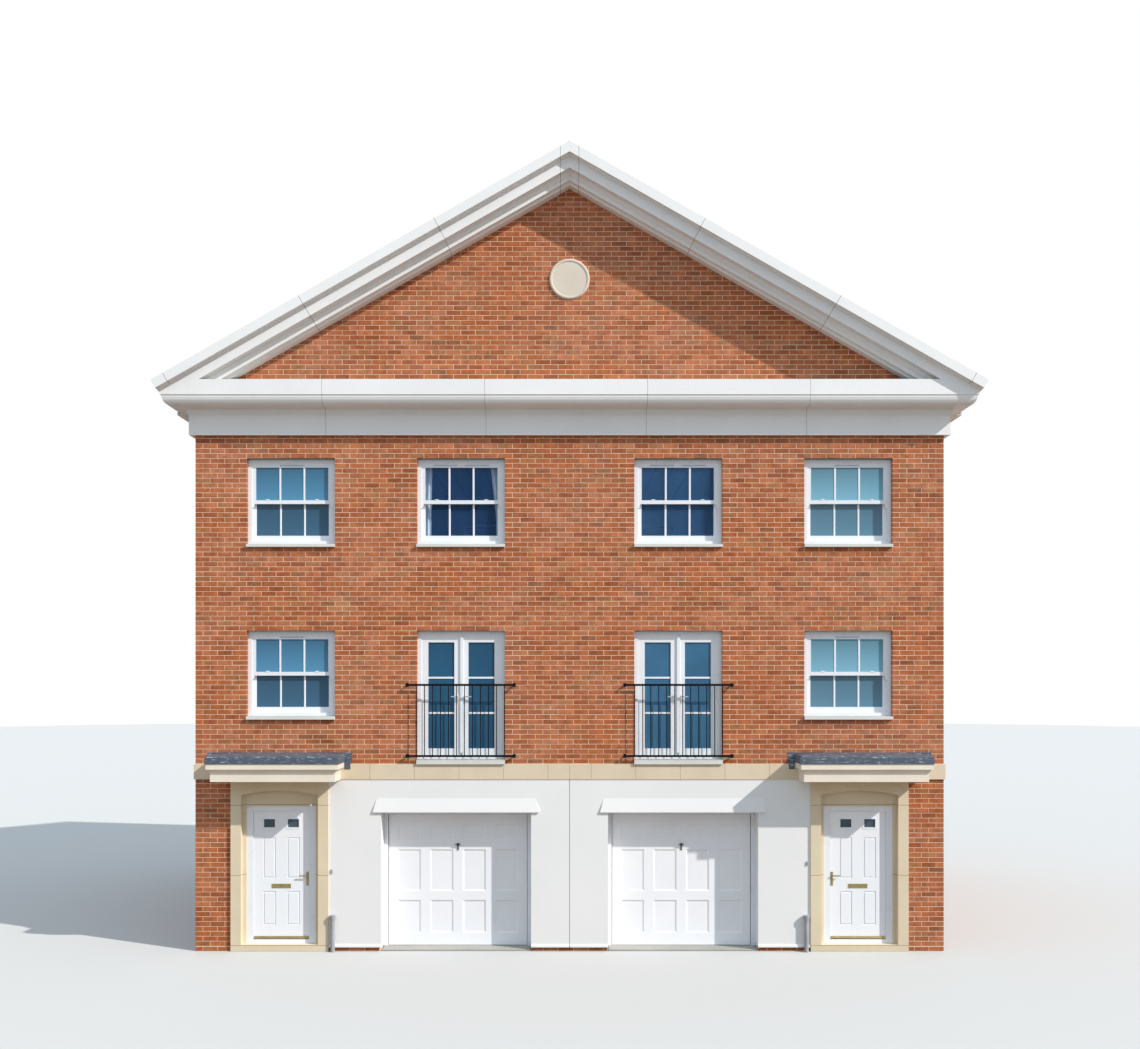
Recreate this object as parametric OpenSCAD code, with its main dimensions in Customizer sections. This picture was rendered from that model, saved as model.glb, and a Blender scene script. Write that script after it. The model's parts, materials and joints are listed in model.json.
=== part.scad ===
// Pair of three-storey town houses under one pediment, in millimetres.
// The front faces -Y. The origin is on the ground at the centre of the plan.

/* [Walls and floors] */
// Width of the brick front
house_w = 11320; // [10900:10:11800]
// Depth from the front brick face to the rear brick face
house_depth = 9000; // [8000:50:10000]
// Thickness of the outer walls
wall_t = 300; // [280:5:340]
// Thickness of the wall between the two homes
party_t = 250; // [200:10:300]
// Thickness of each upper floor
floor_t = 250; // [200:10:300]
// Top of the garage floor above the ground
garage_floor_z = 20; // [15:1:40]
// Top of the hall floor above the ground
hall_floor_z = 100; // [60:5:150]
// Length of the garage floor behind the front wall
garage_bay_l = 5400; // [4800:50:6000]
// Top of the first floor
first_floor_z = 2850; // [2850:5:2900]
// Top of the second floor
second_floor_z = 5480; // [5400:5:5600]
// Top of the attic floor
attic_floor_z = 8030; // [7900:5:8100]

/* [Stone courses] */
// Underside of the string course
string_z = 2600; // [2580:5:2600]
// Height of the string course
string_h = 230; // [200:5:240]
// Projection of the string course from the brick
string_proj = 25; // [15:1:40]
// Height of a window sill
sill_h = 55; // [45:1:70]
// Height of the sill under a glazed door
door_sill_h = 77; // [60:1:90]
// Projection of the sills
sill_proj = 55; // [40:1:70]

/* [Windows] */
// Distance from the centre line to the outer windows
outer_x = 4220; // [4100:5:4300]
// Distance from the centre line to the inner windows
inner_x = 1646; // [1500:5:1800]
// Width of every window opening
window_w = 1337; // [1200:1:1400]
// Height of a window opening with its sill
window_h = 1344; // [1250:1:1400]
// Head of the first-floor openings
first_head_z = 4850; // [4800:5:4900]
// Head of the second-floor openings
second_head_z = 7460; // [7400:5:7550]
// Head of the rear ground-floor openings
ground_head_z = 2160; // [2100:5:2200]
// Depth of the brick reveal in front of a window
reveal_d = 78; // [60:1:100]
// Depth of a window frame
frame_d = 110; // [100:1:140]
// Face width of a window frame
frame_face = 60; // [50:1:75]
// Height of the frame below the lower sash
frame_cill = 45; // [35:1:60]
// Depth of a sash
sash_d = 42; // [36:1:46]
// Width of the sash stiles
sash_stile = 59; // [45:1:70]
// Height of the top rail of the upper sash
sash_top = 68; // [50:1:80]
// Height of the meeting rails
meeting_rail = 55; // [40:1:75]
// Height of the bottom rail of the lower sash
sash_bottom = 85; // [70:1:100]
// Height of the horns below an upper sash
horn_h = 62; // [50:1:75]
// Width of a horn
horn_w = 44; // [35:1:55]
// Thickness of the sealed glass
glass_t = 24; // [20:1:28]

/* [Glazed doors] */
// Width of the stiles of a glazed door leaf
leaf_stile = 105; // [90:1:120]
// Height of the top rail of a glazed door leaf
leaf_top = 115; // [90:1:130]
// Height of the bottom rail of a glazed door leaf
leaf_bottom = 110; // [90:1:160]
// Thickness of a glazed door leaf
leaf_t = 60; // [50:1:70]
// Gap between the two leaves
leaf_gap = 4; // [3:1:6]

/* [Juliet balconies] */
// Length of the rails
balcony_l = 1660; // [1560:10:1760]
// Underside of the bottom rail
balcony_z = 2940; // [2930:5:2960]
// Top of the top rail
balcony_top_z = 4045; // [3950:5:4100]
// Height of a rail
rail_h = 32; // [25:1:40]
// Thickness of a rail
rail_t = 12; // [10:1:16]
// Clear distance from the wall to the rails
balcony_gap = 70; // [62:1:90]
// Diameter of an upright
bar_d = 14; // [12:1:20]
// Number of uprights
bar_count = 12; // [10:1:13]
// Spacing of the uprights
bar_pitch = 120.6; // [110:0.1:122]
// Width of an arm, a flat bar that lies level
arm_w = 40; // [30:1:60]
// Thickness of an arm
arm_t = 10; // [8:1:14]
// Height of a wall plate
plate_h = 54; // [45:1:80]
// Thickness of a wall plate
plate_t = 8; // [6:1:10]

/* [Door surrounds] */
// Distance from the centre line to the front doors
door_x = 4385; // [4340:5:4400]
// Width of the stone surround
surround_w = 1478; // [1440:1:1500]
// Projection of the surround from the brick
surround_proj = 40; // [30:1:55]
// Depth of the stone behind the brick face
surround_d = 150; // [130:1:180]
// Width of the arched recess
arch_w = 1165; // [1120:1:1200]
// Height at which the arch springs
arch_spring_z = 2360; // [2300:1:2380]
// Rise of the segmental arch
arch_rise = 72; // [50:1:90]
// Distance from the brick face back to the panel behind the arch
arch_back_d = 70; // [55:1:80]

/* [Front doors] */
// Width of a door leaf
door_w = 870; // [838:1:880]
// Thickness of a door leaf
door_t = 48; // [44:1:54]
// Gap around a door leaf
door_gap = 7; // [6:1:8]
// Width of the small lights at the top of a door
light_w = 168; // [140:1:175]
// Height of the small lights
light_h = 126; // [100:1:130]
// Width of the bead round a light
light_bead = 22; // [14:1:28]
// Height of the weatherbar at the foot of a door
bar_h = 32; // [25:1:40]
// Width of the letter plate
letter_w = 290; // [250:5:310]
// Height of the letter plate
letter_h = 64; // [55:1:80]
// Height of the letter plate's middle above the ground
letter_z = 970; // [940:5:990]
// Overall width of the door frame
door_frame_w = 1050; // [1040:1:1080]
// Top of the door frame
door_head_z = 2185; // [2150:5:2220]
// Depth of the door frame
door_frame_d = 70; // [66:1:80]
// Face of the door frame behind the brick face
door_frame_y = 82; // [80:1:88]
// Height of the threshold
threshold_h = 60; // [50:1:70]
// Thickness of the stop that the leaf shuts against
stop_t = 12; // [10:1:14]
// Lap of the stop over the leaf
stop_lap = 10; // [8:1:14]
// Face height of the frame's head
door_head_face = 60; // [50:1:70]
// Radius of a hinge knuckle
knuckle_r = 7; // [6:0.5:8]
// Length of a hinge knuckle
knuckle_l = 34; // [30:1:40]

/* [Garages] */
// Distance from the centre line to the garage doors
garage_x = 1718; // [1690:1:1730]
// Clear width between the rendered reveals
garage_w = 2270; // [2200:5:2290]
// Clear height of the garage opening
garage_head_z = 2100; // [2050:5:2150]
// Thickness of the render
render_t = 15; // [12:1:20]
// Bottom edge of the render above the ground
render_z = 60; // [50:1:80]
// Outward flare of the render's bottom edge
bell_proj = 18; // [12:1:25]
// Height of the flare at the render's bottom edge
bell_h = 45; // [35:1:60]
// Projection of the drip hood over a garage
hood_proj = 45; // [35:1:60]
// Height of the drip hood
hood_h = 215; // [180:5:230]
// Height of the hood's upright lip
hood_lip = 12; // [8:1:20]
// Inward slope of the hood's ends
hood_hip = 55; // [40:1:70]
// Length of the hood beyond each side of the opening
hood_lap = 120; // [100:5:125]
// Width of the joint in the render between the homes
joint_w = 12; // [8:1:16]
// Width of the garage frame that shows in the opening
garage_frame_show = 65; // [55:1:75]
// Lap of the garage frame behind the wall
garage_frame_lap = 75; // [60:1:90]
// Depth of the frame's posts
garage_post_d = 70; // [60:1:80]
// Thickness of the frame's head board
garage_head_t = 25; // [20:1:30]
// Thickness of a garage door leaf
garage_leaf_t = 40; // [36:1:48]
// Gap beside a garage door leaf
garage_gap = 8; // [6:1:10]
// Lap of the leaf behind the head board
garage_lap = 15; // [10:1:20]
// Height of the pivot above the bottom of the leaf
pivot_h = 700; // [640:5:740]
// Height of the handle above the ground
garage_handle_z = 1575; // [1550:5:1600]
// Clear width inside a track
track_gap = 36; // [32:1:42]
// Thickness of the track's steel
track_t = 3; // [2.5:0.5:4]
// Depth of a track across the wall
track_w = 37; // [34:1:42]
// Height of a track's foot above the garage floor
track_foot = 200; // [150:10:300]
// Length of a track above the highest place of the roller
track_over = 80; // [60:5:100]

/* [Door canopies] */
// Half width of the fascia of a canopy
canopy_half_w = 923; // [880:1:940]
// Projection of the fascia
canopy_proj = 495; // [450:5:520]
// Height of the fascia
canopy_fascia_h = 100; // [85:1:110]
// Height of the hollow moulding above the fascia
canopy_hollow_h = 85; // [60:1:95]
// Outward reach of the hollow moulding
canopy_hollow_w = 42; // [30:1:55]
// Height of the top band
canopy_band_h = 80; // [60:1:90]
// Outward step of the top band
canopy_step = 10; // [8:1:16]
// Height of the lead edge
lead_edge_h = 120; // [100:1:140]
// Fall of the lead from the wall to the edge
lead_fall = 22; // [12:1:40]
// Overhang of the lead
lead_proj = 10; // [8:1:16]
// Length of the lead flashing beyond the canopy
lead_ear = 105; // [80:1:130]

/* [Entablature] */
// Underside of the frieze
frieze_z = 7800; // [7750:5:7850]
// Height of the frieze
frieze_h = 300; // [250:5:320]
// Projection of the frieze
frieze_proj = 82; // [65:1:90]
// Height of the bed moulding
bed_h = 93; // [70:1:110]
// Projection of the bed moulding
bed_proj = 112; // [90:1:120]
// Projection of the cornice's soffit
soffit_proj = 290; // [250:5:320]
// Height of the curved moulding of the cornice
cyma_h = 148; // [120:1:170]
// Projection of the curved moulding
cyma_proj = 400; // [370:5:405]
// Projection of the cornice's fascia
cornice_proj = 410; // [410:1:420]
// Height of the cornice's fascia
cornice_fascia_h = 227; // [180:1:240]
// Height at which the cornice's top meets the wall
cornice_top_z = 8660; // [8640:5:8700]
// Length of the cornice's return along the side walls
return_l = 400; // [350:5:500]

/* [Pediment and roof] */
// Slope of the roof and of the raking cornice
roof_pitch = 29.7; // [29:0.1:30.5]
// Height of the raking cornice's top edge at its ends
tip_z = 8530; // [8500:5:8560]
// Projection of the raking cornice's top fascia
rake_proj = 520; // [480:5:540]
// Depth of the top fascia
rake_fascia = 135; // [110:1:150]
// Depth of the whole raking cornice
rake_d = 450; // [420:5:480]
// Depth of the bed mouldings at the foot of the raking cornice
rake_bed_d = 145; // [120:5:170]
// Projection of the upper bed moulding
rake_bed_proj = 290; // [270:5:310]
// Projection of the lower bed moulding
rake_step_proj = 250; // [230:5:265]
// Projection of the raking cornice's foot
rake_foot_proj = 165; // [140:5:190]
// Thickness of the roof
roof_t = 160; // [140:5:200]
// Drop from the raking cornice's top to the roof
roof_drop = 25; // [20:1:40]
// Overhang of the roof past the rear wall
rear_overhang = 150; // [100:10:250]
// Radius of the ridge tiles
ridge_r = 130; // [110:1:150]
// Radius of the round plaque
plaque_r = 305; // [270:1:340]
// Height of the plaque's centre
plaque_z = 10170; // [10050:5:10250]
// Thickness of the plaque
plaque_t = 32; // [25:1:45]

/* [Eaves and pipes] */
// Width of the boxed eaves
eaves_w = 400; // [370:5:405]
// Thickness of the eaves boards
board_t = 20; // [16:1:25]
// Outer radius of the gutters
gutter_r = 54; // [50:1:56]
// Thickness of the gutters
gutter_t = 4; // [3:0.5:5]
// Distance of the downpipes from the rear face
downpipe_inset = 250; // [200:10:400]
// Radius of the downpipes
downpipe_r = 34; // [30:1:38]
// Height of the swan neck under the soffit
neck_h = 420; // [360:10:600]
// Extra radius of a pipe's bend
bend_collar = 4; // [3:1:6]
// Height of the lowest pipe bracket
clip_z = 400; // [300:10:600]
// Spacing of the pipe brackets
clip_pitch = 1800; // [1500:50:2000]
// Radius of the small pipes at the front
pipe_r = 32; // [25:1:38]
// Height of the small pipes at the front
pipe_h = 550; // [450:10:600]

/* [Hidden] */
front_y = -house_depth / 2;
half_w = house_w / 2;
wall_z = string_z + string_h;
in_w = half_w - wall_t;
in_d = house_depth - wall_t;
gable_t = wall_t;
seat = 0.3;
// Outer ends of the raking cornice
tip_x = half_w + rake_proj;
window_z = window_h - sill_h;
opening_xs = [-outer_x, -inner_x, inner_x, outer_x];
// Sash windows as [centre, head] on the front and on the rear
front_windows = concat(
    [for (x = opening_xs) [x, second_head_z]],
    [for (x = [-outer_x, outer_x]) [x, first_head_z]]);
rear_upper_windows = [for (z = [first_head_z, second_head_z], x = opening_xs) [x, z]];
rear_ground_windows = [for (x = [-outer_x, outer_x]) [x, ground_head_z]];
// Glazed doors as [centre, underside of the sill, head]
front_glazed = [for (x = [-inner_x, inner_x]) [x, wall_z, first_head_z]];
rear_glazed = [for (x = [-inner_x, inner_x]) [x, hall_floor_z, ground_head_z]];
// Sash planes behind the frame's face
upper_sash_y = reveal_d + 12;
lower_sash_y = upper_sash_y + sash_d + 3;
// Surround, door frame and leaf
surround_in = door_x - surround_w / 2;
surround_out = door_x + surround_w / 2;
frame_half = door_frame_w / 2;
clear_half = door_w / 2 + door_gap;
door_y = door_frame_y + stop_t + 6;
door_z = hall_floor_z + threshold_h + door_gap;
door_top_z = door_head_z - door_head_face - door_gap;
door_frame_back = door_frame_y + door_frame_d;
hinge_y = door_frame_back + knuckle_r + 0.5;
hinge_x = door_w / 2 + door_gap / 2;
hinge_zs = [for (f = [0.12, 0.5, 0.88]) door_z + f * (door_top_z - door_z)];
// Garage opening, leaf and track
garage_half = garage_w / 2;
garage_in = garage_x - garage_half;
garage_out = garage_x + garage_half;
post_in = garage_half - garage_frame_show;
leaf_half = post_in - garage_gap;
leaf_y = wall_t + garage_head_t + 5;
leaf_z = garage_floor_z + 6;
head_z = garage_head_z - garage_frame_show;
leaf_top_z = head_z + garage_lap;
track_y = wall_t + garage_post_d;
pivot_y = track_y + track_t + track_gap / 2;
pivot_z = leaf_z + pivot_h;
// Highest place of the pivot: the open leaf then clears the head board by 5
lift = head_z - 5 - (pivot_y - leaf_y) - pivot_z;
track_x = post_in + 8;
roller_r = track_gap / 2 - seat;
// Cornice levels
cornice_z = frieze_z + frieze_h;
soffit_z = cornice_z + bed_h;
fascia_z = soffit_z + cyma_h;
canopy_hollow_z = string_z + canopy_fascia_h;
canopy_band_z = canopy_hollow_z + canopy_hollow_h;
canopy_top_z = canopy_band_z + canopy_band_h;
canopy_top_proj = canopy_proj + canopy_hollow_w + canopy_step;

brick = "#b5603f";
steel = "#15171a";
white = "#f1f0ec";
stone = "#d9c9a3";
glazing = "#33414d";
pipe_black = "#23262a";
door_white = "#eceef1";
boards = "#c9b48f";

// Height of the raking cornice's top edge, and of a line that runs d below it
function rake_z(x, d = 0) = tip_z + (tip_x - abs(x)) * tan(roof_pitch) - d / cos(roof_pitch);
function roof_under_z(x) = rake_z(x, roof_drop + roof_t);
// Top of what the roof rests on
function roof_seat_z(x) = roof_under_z(x) - seat;
// Points on a quarter curve from a to b, hollow or full
function quarter(a, b, hollow, n = 6) = [for (i = [0:n]) let (t = 90 * i / n)
    hollow ? [a[0] + (b[0] - a[0]) * (1 - cos(t)), a[1] + (b[1] - a[1]) * sin(t)]
        : [a[0] + (b[0] - a[0]) * sin(t), a[1] + (b[1] - a[1]) * (1 - cos(t))]];

module on_front() { translate([0, front_y, 0]) children(); }
module on_rear() { rotate([0, 0, 180]) on_front() children(); }
module both_sides() {
    children();
    mirror([1, 0, 0]) children();
}
module block(x, y, z) {
    translate([x[0], y[0], z[0]]) cube([x[1] - x[0], y[1] - y[0], z[1] - z[0]]);
}
// An outline in X and Z, drawn out from y[0] to y[1]
module along_y(y) { translate([0, y[1], 0]) rotate([90, 0, 0]) linear_extrude(y[1] - y[0]) children(); }
// An outline in Y and Z, drawn out from x[0] to x[1]
module along_x(x) { translate([x[0], 0, 0]) rotate([90, 0, 90]) linear_extrude(x[1] - x[0]) children(); }
// A square frame that stands upright, with its own rail and stile widths
module ring(x, y, z, side, bottom, top) {
    difference() {
        block(x, y, z);
        block([x[0] + side, x[1] - side], [y[0] - 1, y[1] + 1], [z[0] + bottom, z[1] - top]);
    }
}
// A moulding of [projection, height] points that turns the corners of a block half as wide
// as half, and reaches back from the wall face
module mitred(half, points, back) {
    z0 = points[0][1];
    z1 = points[len(points) - 1][1];
    reach = max([for (p = points) p[0]]);
    n = len(points);
    intersection() {
        along_x([-half - reach, half + reach])
            polygon(concat([for (p = points) [-p[0], p[1]]], [[back, z1], [back, z0]]));
        along_y([-reach, back])
            polygon(concat([for (p = points) [half + p[0], p[1]]],
                [for (i = [n - 1:-1:0]) [-half - points[i][0], points[i][1]]]));
    }
}

module ground_slab() {
    color("#a9a6a0") on_front() both_sides() {
        block([party_t / 2, in_w], [wall_t, in_d], [0, garage_floor_z]);
        block([garage_in + render_t, garage_out - render_t], [0, wall_t], [0, garage_floor_z]);
        block([garage_out + garage_frame_lap, in_w], [wall_t, in_d], [0, hall_floor_z]);
        block([party_t / 2, in_w], [wall_t + garage_bay_l, in_d], [0, hall_floor_z]);
        block([door_x - frame_half, door_x + frame_half], [surround_d, wall_t], [0, hall_floor_z]);
    }
}

// Plan of the pier beside a garage opening, with the inner leaf behind the door surround
module ground_wall_piers() {
    color(brick) on_front() {
        linear_extrude(string_z) {
            square_pier = garage_in - render_t;
            translate([-square_pier, 0]) square([2 * square_pier, wall_t]);
            both_sides() polygon([[garage_out + render_t, 0], [surround_in, 0],
                [surround_in, surround_d], [door_x - frame_half, surround_d],
                [door_x - frame_half, wall_t], [garage_out + render_t, wall_t]]);
            both_sides() polygon([[half_w, 0], [surround_out, 0], [surround_out, surround_d],
                [door_x + frame_half, surround_d], [door_x + frame_half, wall_t],
                [half_w, wall_t]]);
        }
    }
}

module ground_wall_lintels() {
    color(brick) on_front() both_sides() {
        block([garage_in - render_t, garage_out + render_t], [0, wall_t],
            [garage_head_z + render_t, string_z]);
        block([door_x - frame_half, door_x + frame_half], [surround_d, wall_t],
            [door_head_z, string_z]);
    }
}

// Flare at the bottom edge of the render, as an outline in Y and Z
module bell_edge() {
    polygon(concat([[0, render_z], [-render_t - bell_proj, render_z]],
        quarter([-render_t - bell_proj, render_z + 10], [-render_t, render_z + bell_h], true),
        [[0, render_z + bell_h]]));
}

module render_piers() {
    color(white) on_front() {
        z = [render_z, garage_head_z];
        pier = garage_in - render_t;
        difference() {
            union() {
                block([-garage_in, garage_in], [-render_t, 0], z);
                both_sides() block([pier, garage_in], [-render_t, wall_t], z);
                along_x([-garage_in, garage_in]) bell_edge();
            }
            block([-joint_w / 2, joint_w / 2], [-render_t - bell_proj - 1, -3], [0, z[1] + 1]);
        }
        both_sides() {
            block([garage_out, surround_in], [-render_t, 0], z);
            block([garage_out, garage_out + render_t], [-render_t, wall_t], z);
            along_x([garage_out, surround_in]) bell_edge();
        }
    }
}

// Flare of the render over a garage opening, with ends that slope inwards
module drip_hood() {
    ends = [garage_in - hood_lap, garage_out + hood_lap];
    z = [garage_head_z, garage_head_z + hood_lip, garage_head_z + hood_h];
    intersection() {
        along_x(ends) polygon([[-render_t, z[0]], [-hood_proj, z[0]], [-hood_proj, z[1]], [-render_t, z[2]]]);
        along_y([-hood_proj - 1, 0]) polygon([[ends[0], z[0]], [ends[1], z[0]], [ends[1], z[1]],
            [ends[1] - hood_hip, z[2]], [ends[0] + hood_hip, z[2]], [ends[0], z[1]]]);
    }
}

// Band of render above the garages, with a flared hood over each opening
module render_band() {
    color(white) on_front() difference() {
        union() {
            block([-surround_in, surround_in], [-render_t, 0], [garage_head_z, string_z]);
            both_sides() {
                block([garage_in, garage_out], [-render_t, wall_t],
                    [garage_head_z, garage_head_z + render_t]);
                drip_hood();
            }
        }
        block([-joint_w / 2, joint_w / 2], [-render_t - 1, -3], [garage_head_z - 1, string_z + 1]);
    }
}

// Stone surround: jambs and a head with a segmental arch, and a plain panel behind it
module door_surround() {
    half = arch_w / 2;
    radius = (half * half + arch_rise * arch_rise) / (2 * arch_rise);
    difference() {
        block([-surround_w / 2, surround_w / 2], [-surround_proj, surround_d], [0, string_z]);
        along_y([-surround_proj - 1, arch_back_d]) {
            translate([-half, hall_floor_z]) square([arch_w, arch_spring_z - hall_floor_z]);
            intersection() {
                translate([0, arch_spring_z + arch_rise - radius]) circle(radius, $fn = 96);
                translate([-half, arch_spring_z - 1]) square([arch_w, arch_rise + 2]);
            }
        }
        block([-frame_half, frame_half], [-surround_proj - 1, surround_d + 1],
            [hall_floor_z, door_head_z]);
    }
}

module door_surrounds() {
    color(stone) on_front() both_sides() translate([door_x, 0, 0]) door_surround();
}

module string_course() {
    color(stone) on_front() block([-half_w - string_proj, half_w + string_proj],
        [-string_proj, wall_t], [string_z, wall_z]);
}

function span(x) = [x - window_w / 2, x + window_w / 2];

// Brickwork between the openings of a storey
module piers_between(z) {
    edges = concat([-half_w], [for (x = opening_xs, e = span(x)) e], [half_w]);
    for (i = [0:len(opening_xs)]) block([edges[2 * i], edges[2 * i + 1]], [0, wall_t], z);
}
// Brickwork across the whole wall
module band_across(z) { block([-half_w, half_w], [0, wall_t], z); }
// Brickwork below the openings at a distance x from the centre line
module aprons(x, z) { both_sides() block(span(x), [0, wall_t], z); }

module front_wall_piers() {
    color(brick) on_front() {
        piers_between([wall_z, first_head_z]);
        piers_between([second_head_z - window_h, second_head_z]);
    }
}
module front_wall_bands() {
    color(brick) on_front() {
        aprons(outer_x, [wall_z, first_head_z - window_h]);
        band_across([first_head_z, second_head_z - window_h]);
        band_across([second_head_z, frieze_z]);
    }
}

// Side wall under the slope of the roof
module side_wall() {
    color(brick) on_front() along_y([wall_t, in_d])
        polygon([[in_w, 0], [half_w, 0], [half_w, roof_seat_z(half_w)],
            [in_w, roof_seat_z(in_w)]]);
}
module left_wall() { mirror([1, 0, 0]) side_wall(); }
module right_wall() { side_wall(); }

module rear_wall_piers() {
    color(brick) on_rear() {
        piers_between([0, ground_head_z]);
        for (z = [first_head_z, second_head_z]) piers_between([z - window_h, z]);
    }
}
module rear_wall_bands() {
    color(brick) on_rear() {
        aprons(outer_x, [0, ground_head_z - window_h]);
        aprons(inner_x, [0, hall_floor_z]);
        band_across([ground_head_z, first_head_z - window_h]);
        band_across([first_head_z, second_head_z - window_h]);
        band_across([second_head_z, frieze_z]);
    }
}

module party_wall() {
    color("#b9b2a6") on_front() along_y([wall_t, in_d]) {
        p = party_t / 2;
        polygon([[-p, 0], [p, 0], [p, roof_seat_z(p)], [0, roof_seat_z(0)],
            [-p, roof_seat_z(p)]]);
    }
}

module floor_pair(top) {
    on_front() both_sides() block([party_t / 2, in_w], [wall_t, in_d], [top - floor_t, top]);
}
module first_floor() { color(boards) floor_pair(first_floor_z); }
module second_floor() { color(boards) floor_pair(second_floor_z); }
module attic_floor() { color("#d9d6cf") floor_pair(attic_floor_z); }

// Triangular wall from the frieze up to the underside of the roof
module gable() {
    along_y([0, gable_t]) polygon([[-half_w, frieze_z], [half_w, frieze_z],
        [half_w, roof_seat_z(half_w)], [0, roof_seat_z(0)], [-half_w, roof_seat_z(half_w)]]);
}
module front_gable() { color(brick) on_front() gable(); }
module rear_gable() { color(brick) on_rear() gable(); }

module round_plaque() {
    rim = 34;
    color(stone) on_front() translate([0, 0, plaque_z]) rotate([90, 0, 0])
        rotate_extrude($fn = 96) polygon(concat([[0, 0], [plaque_r, 0]],
            quarter([plaque_r, plaque_t - 14], [plaque_r - 14, plaque_t], false, 4),
            [[plaque_r - rim, plaque_t], [plaque_r - rim - 8, plaque_t - 10],
                [0, plaque_t - 10]]));
}

module frieze() {
    color(white) on_front() difference() {
        mitred(half_w, [[frieze_proj, frieze_z], [frieze_proj, cornice_z]], return_l);
        block([-half_w, half_w], [0, return_l + 1], [frieze_z - 1, cornice_z + 1]);
    }
}

// Outline of the horizontal cornice as [projection, height], from its foot to the wall
function cornice_points() = concat(
    [[frieze_proj + 12, cornice_z], [frieze_proj + 12, cornice_z + 25],
        [bed_proj, cornice_z + 25], [bed_proj, soffit_z], [soffit_proj, soffit_z]],
    quarter([soffit_proj, soffit_z], [cyma_proj, fascia_z], false),
    [[cornice_proj, fascia_z], [cornice_proj, fascia_z + cornice_fascia_h],
        [0, cornice_top_z]]);

module cornice() {
    edge = half_w + cornice_proj + 1;
    color(white) on_front() difference() {
        mitred(half_w, cornice_points(), return_l);
        block([-half_w, half_w], [0, return_l + 1], [cornice_z - 1, cornice_top_z + 1]);
        // The roof runs down over the returns
        both_sides() along_y([0, return_l + 1]) polygon([[0, roof_seat_z(0)],
            [edge, roof_seat_z(edge)], [edge, rake_z(0)], [0, rake_z(0)]]);
    }
}

// Outline of the raking cornice as [projection, depth below its top edge]
function rake_points() = concat(
    [[0, 0], [rake_proj, 0], [rake_proj, rake_fascia], [rake_proj - 60, rake_fascia]],
    quarter([rake_proj - 75, rake_fascia], [cornice_proj, rake_fascia + 25], true, 4),
    [[cornice_proj, rake_d - rake_bed_d], [rake_bed_proj, rake_d - rake_bed_d]],
    quarter([rake_bed_proj, rake_d - rake_bed_d], [rake_step_proj, rake_d - 0.62 * rake_bed_d], true, 4),
    [[rake_step_proj, rake_d - 0.24 * rake_bed_d]],
    quarter([rake_step_proj, rake_d - 0.24 * rake_bed_d], [rake_foot_proj, rake_d], false, 4),
    [[0, rake_d]]);

// Right half of the raking cornice, from the centre line to its square-cut end
module rake_half() {
    translate([0, 0, rake_z(0)]) rotate([0, roof_pitch, 0])
        along_x([-rake_d, tip_x / cos(roof_pitch)])
            polygon([for (p = rake_points()) [-p[0], -p[1]]]);
}

module raking_cornice() {
    color(white) on_front() difference() {
        union() {
            both_sides() intersection() {
                rake_half();
                block([0, 2 * half_w], [-rake_proj, 0], [frieze_z, 2 * tip_z]);
            }
        }
        // The horizontal cornice, filled down to its foot
        mitred(half_w, concat([[cornice_proj, cornice_z],
            [cornice_proj, fascia_z + cornice_fascia_h], [0, cornice_top_z]]), return_l);
    }
}

module roof_half() {
    edge = half_w + eaves_w + 30;
    on_front() along_y([0, house_depth + rear_overhang])
        polygon([[0, rake_z(0, roof_drop)], [edge, rake_z(edge, roof_drop)],
            [edge, roof_under_z(edge)], [0, roof_under_z(0)]]);
}
module roof_left() { color("#4d5359") mirror([1, 0, 0]) roof_half(); }
module roof_right() { color("#4d5359") roof_half(); }

module ridge_tiles() {
    color("#5a5f64") on_front() along_y([0, house_depth + rear_overhang]) difference() {
        translate([0, rake_z(0, roof_drop) - 70]) circle(ridge_r, $fn = 48);
        polygon([[0, rake_z(0, roof_drop)], [half_w, rake_z(half_w, roof_drop)],
            [half_w, 0], [-half_w, 0], [-half_w, rake_z(half_w, roof_drop)]]);
    }
}

// Soffit and fascia boards along both sides, behind the cornice's returns
module eaves() {
    fascia_x = half_w + eaves_w - board_t;
    color(white) on_front() both_sides() along_y([return_l, house_depth + rear_overhang])
        polygon([[half_w, soffit_z], [half_w + eaves_w, soffit_z],
            [half_w + eaves_w, roof_seat_z(half_w + eaves_w)], [fascia_x, roof_seat_z(fascia_x)],
            [fascia_x, soffit_z + board_t], [half_w, soffit_z + board_t]]);
}

gutter_x = half_w + eaves_w + gutter_r;
gutter_z = roof_under_z(half_w + eaves_w) - 20;
module gutters() {
    color(pipe_black) on_front() both_sides() along_y([return_l + 5, house_depth + rear_overhang])
        translate([gutter_x, gutter_z]) difference() {
            circle(gutter_r, $fn = 48);
            circle(gutter_r - gutter_t, $fn = 48);
            translate([-gutter_r, 0]) square([2 * gutter_r, gutter_r]);
        }
}

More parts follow.
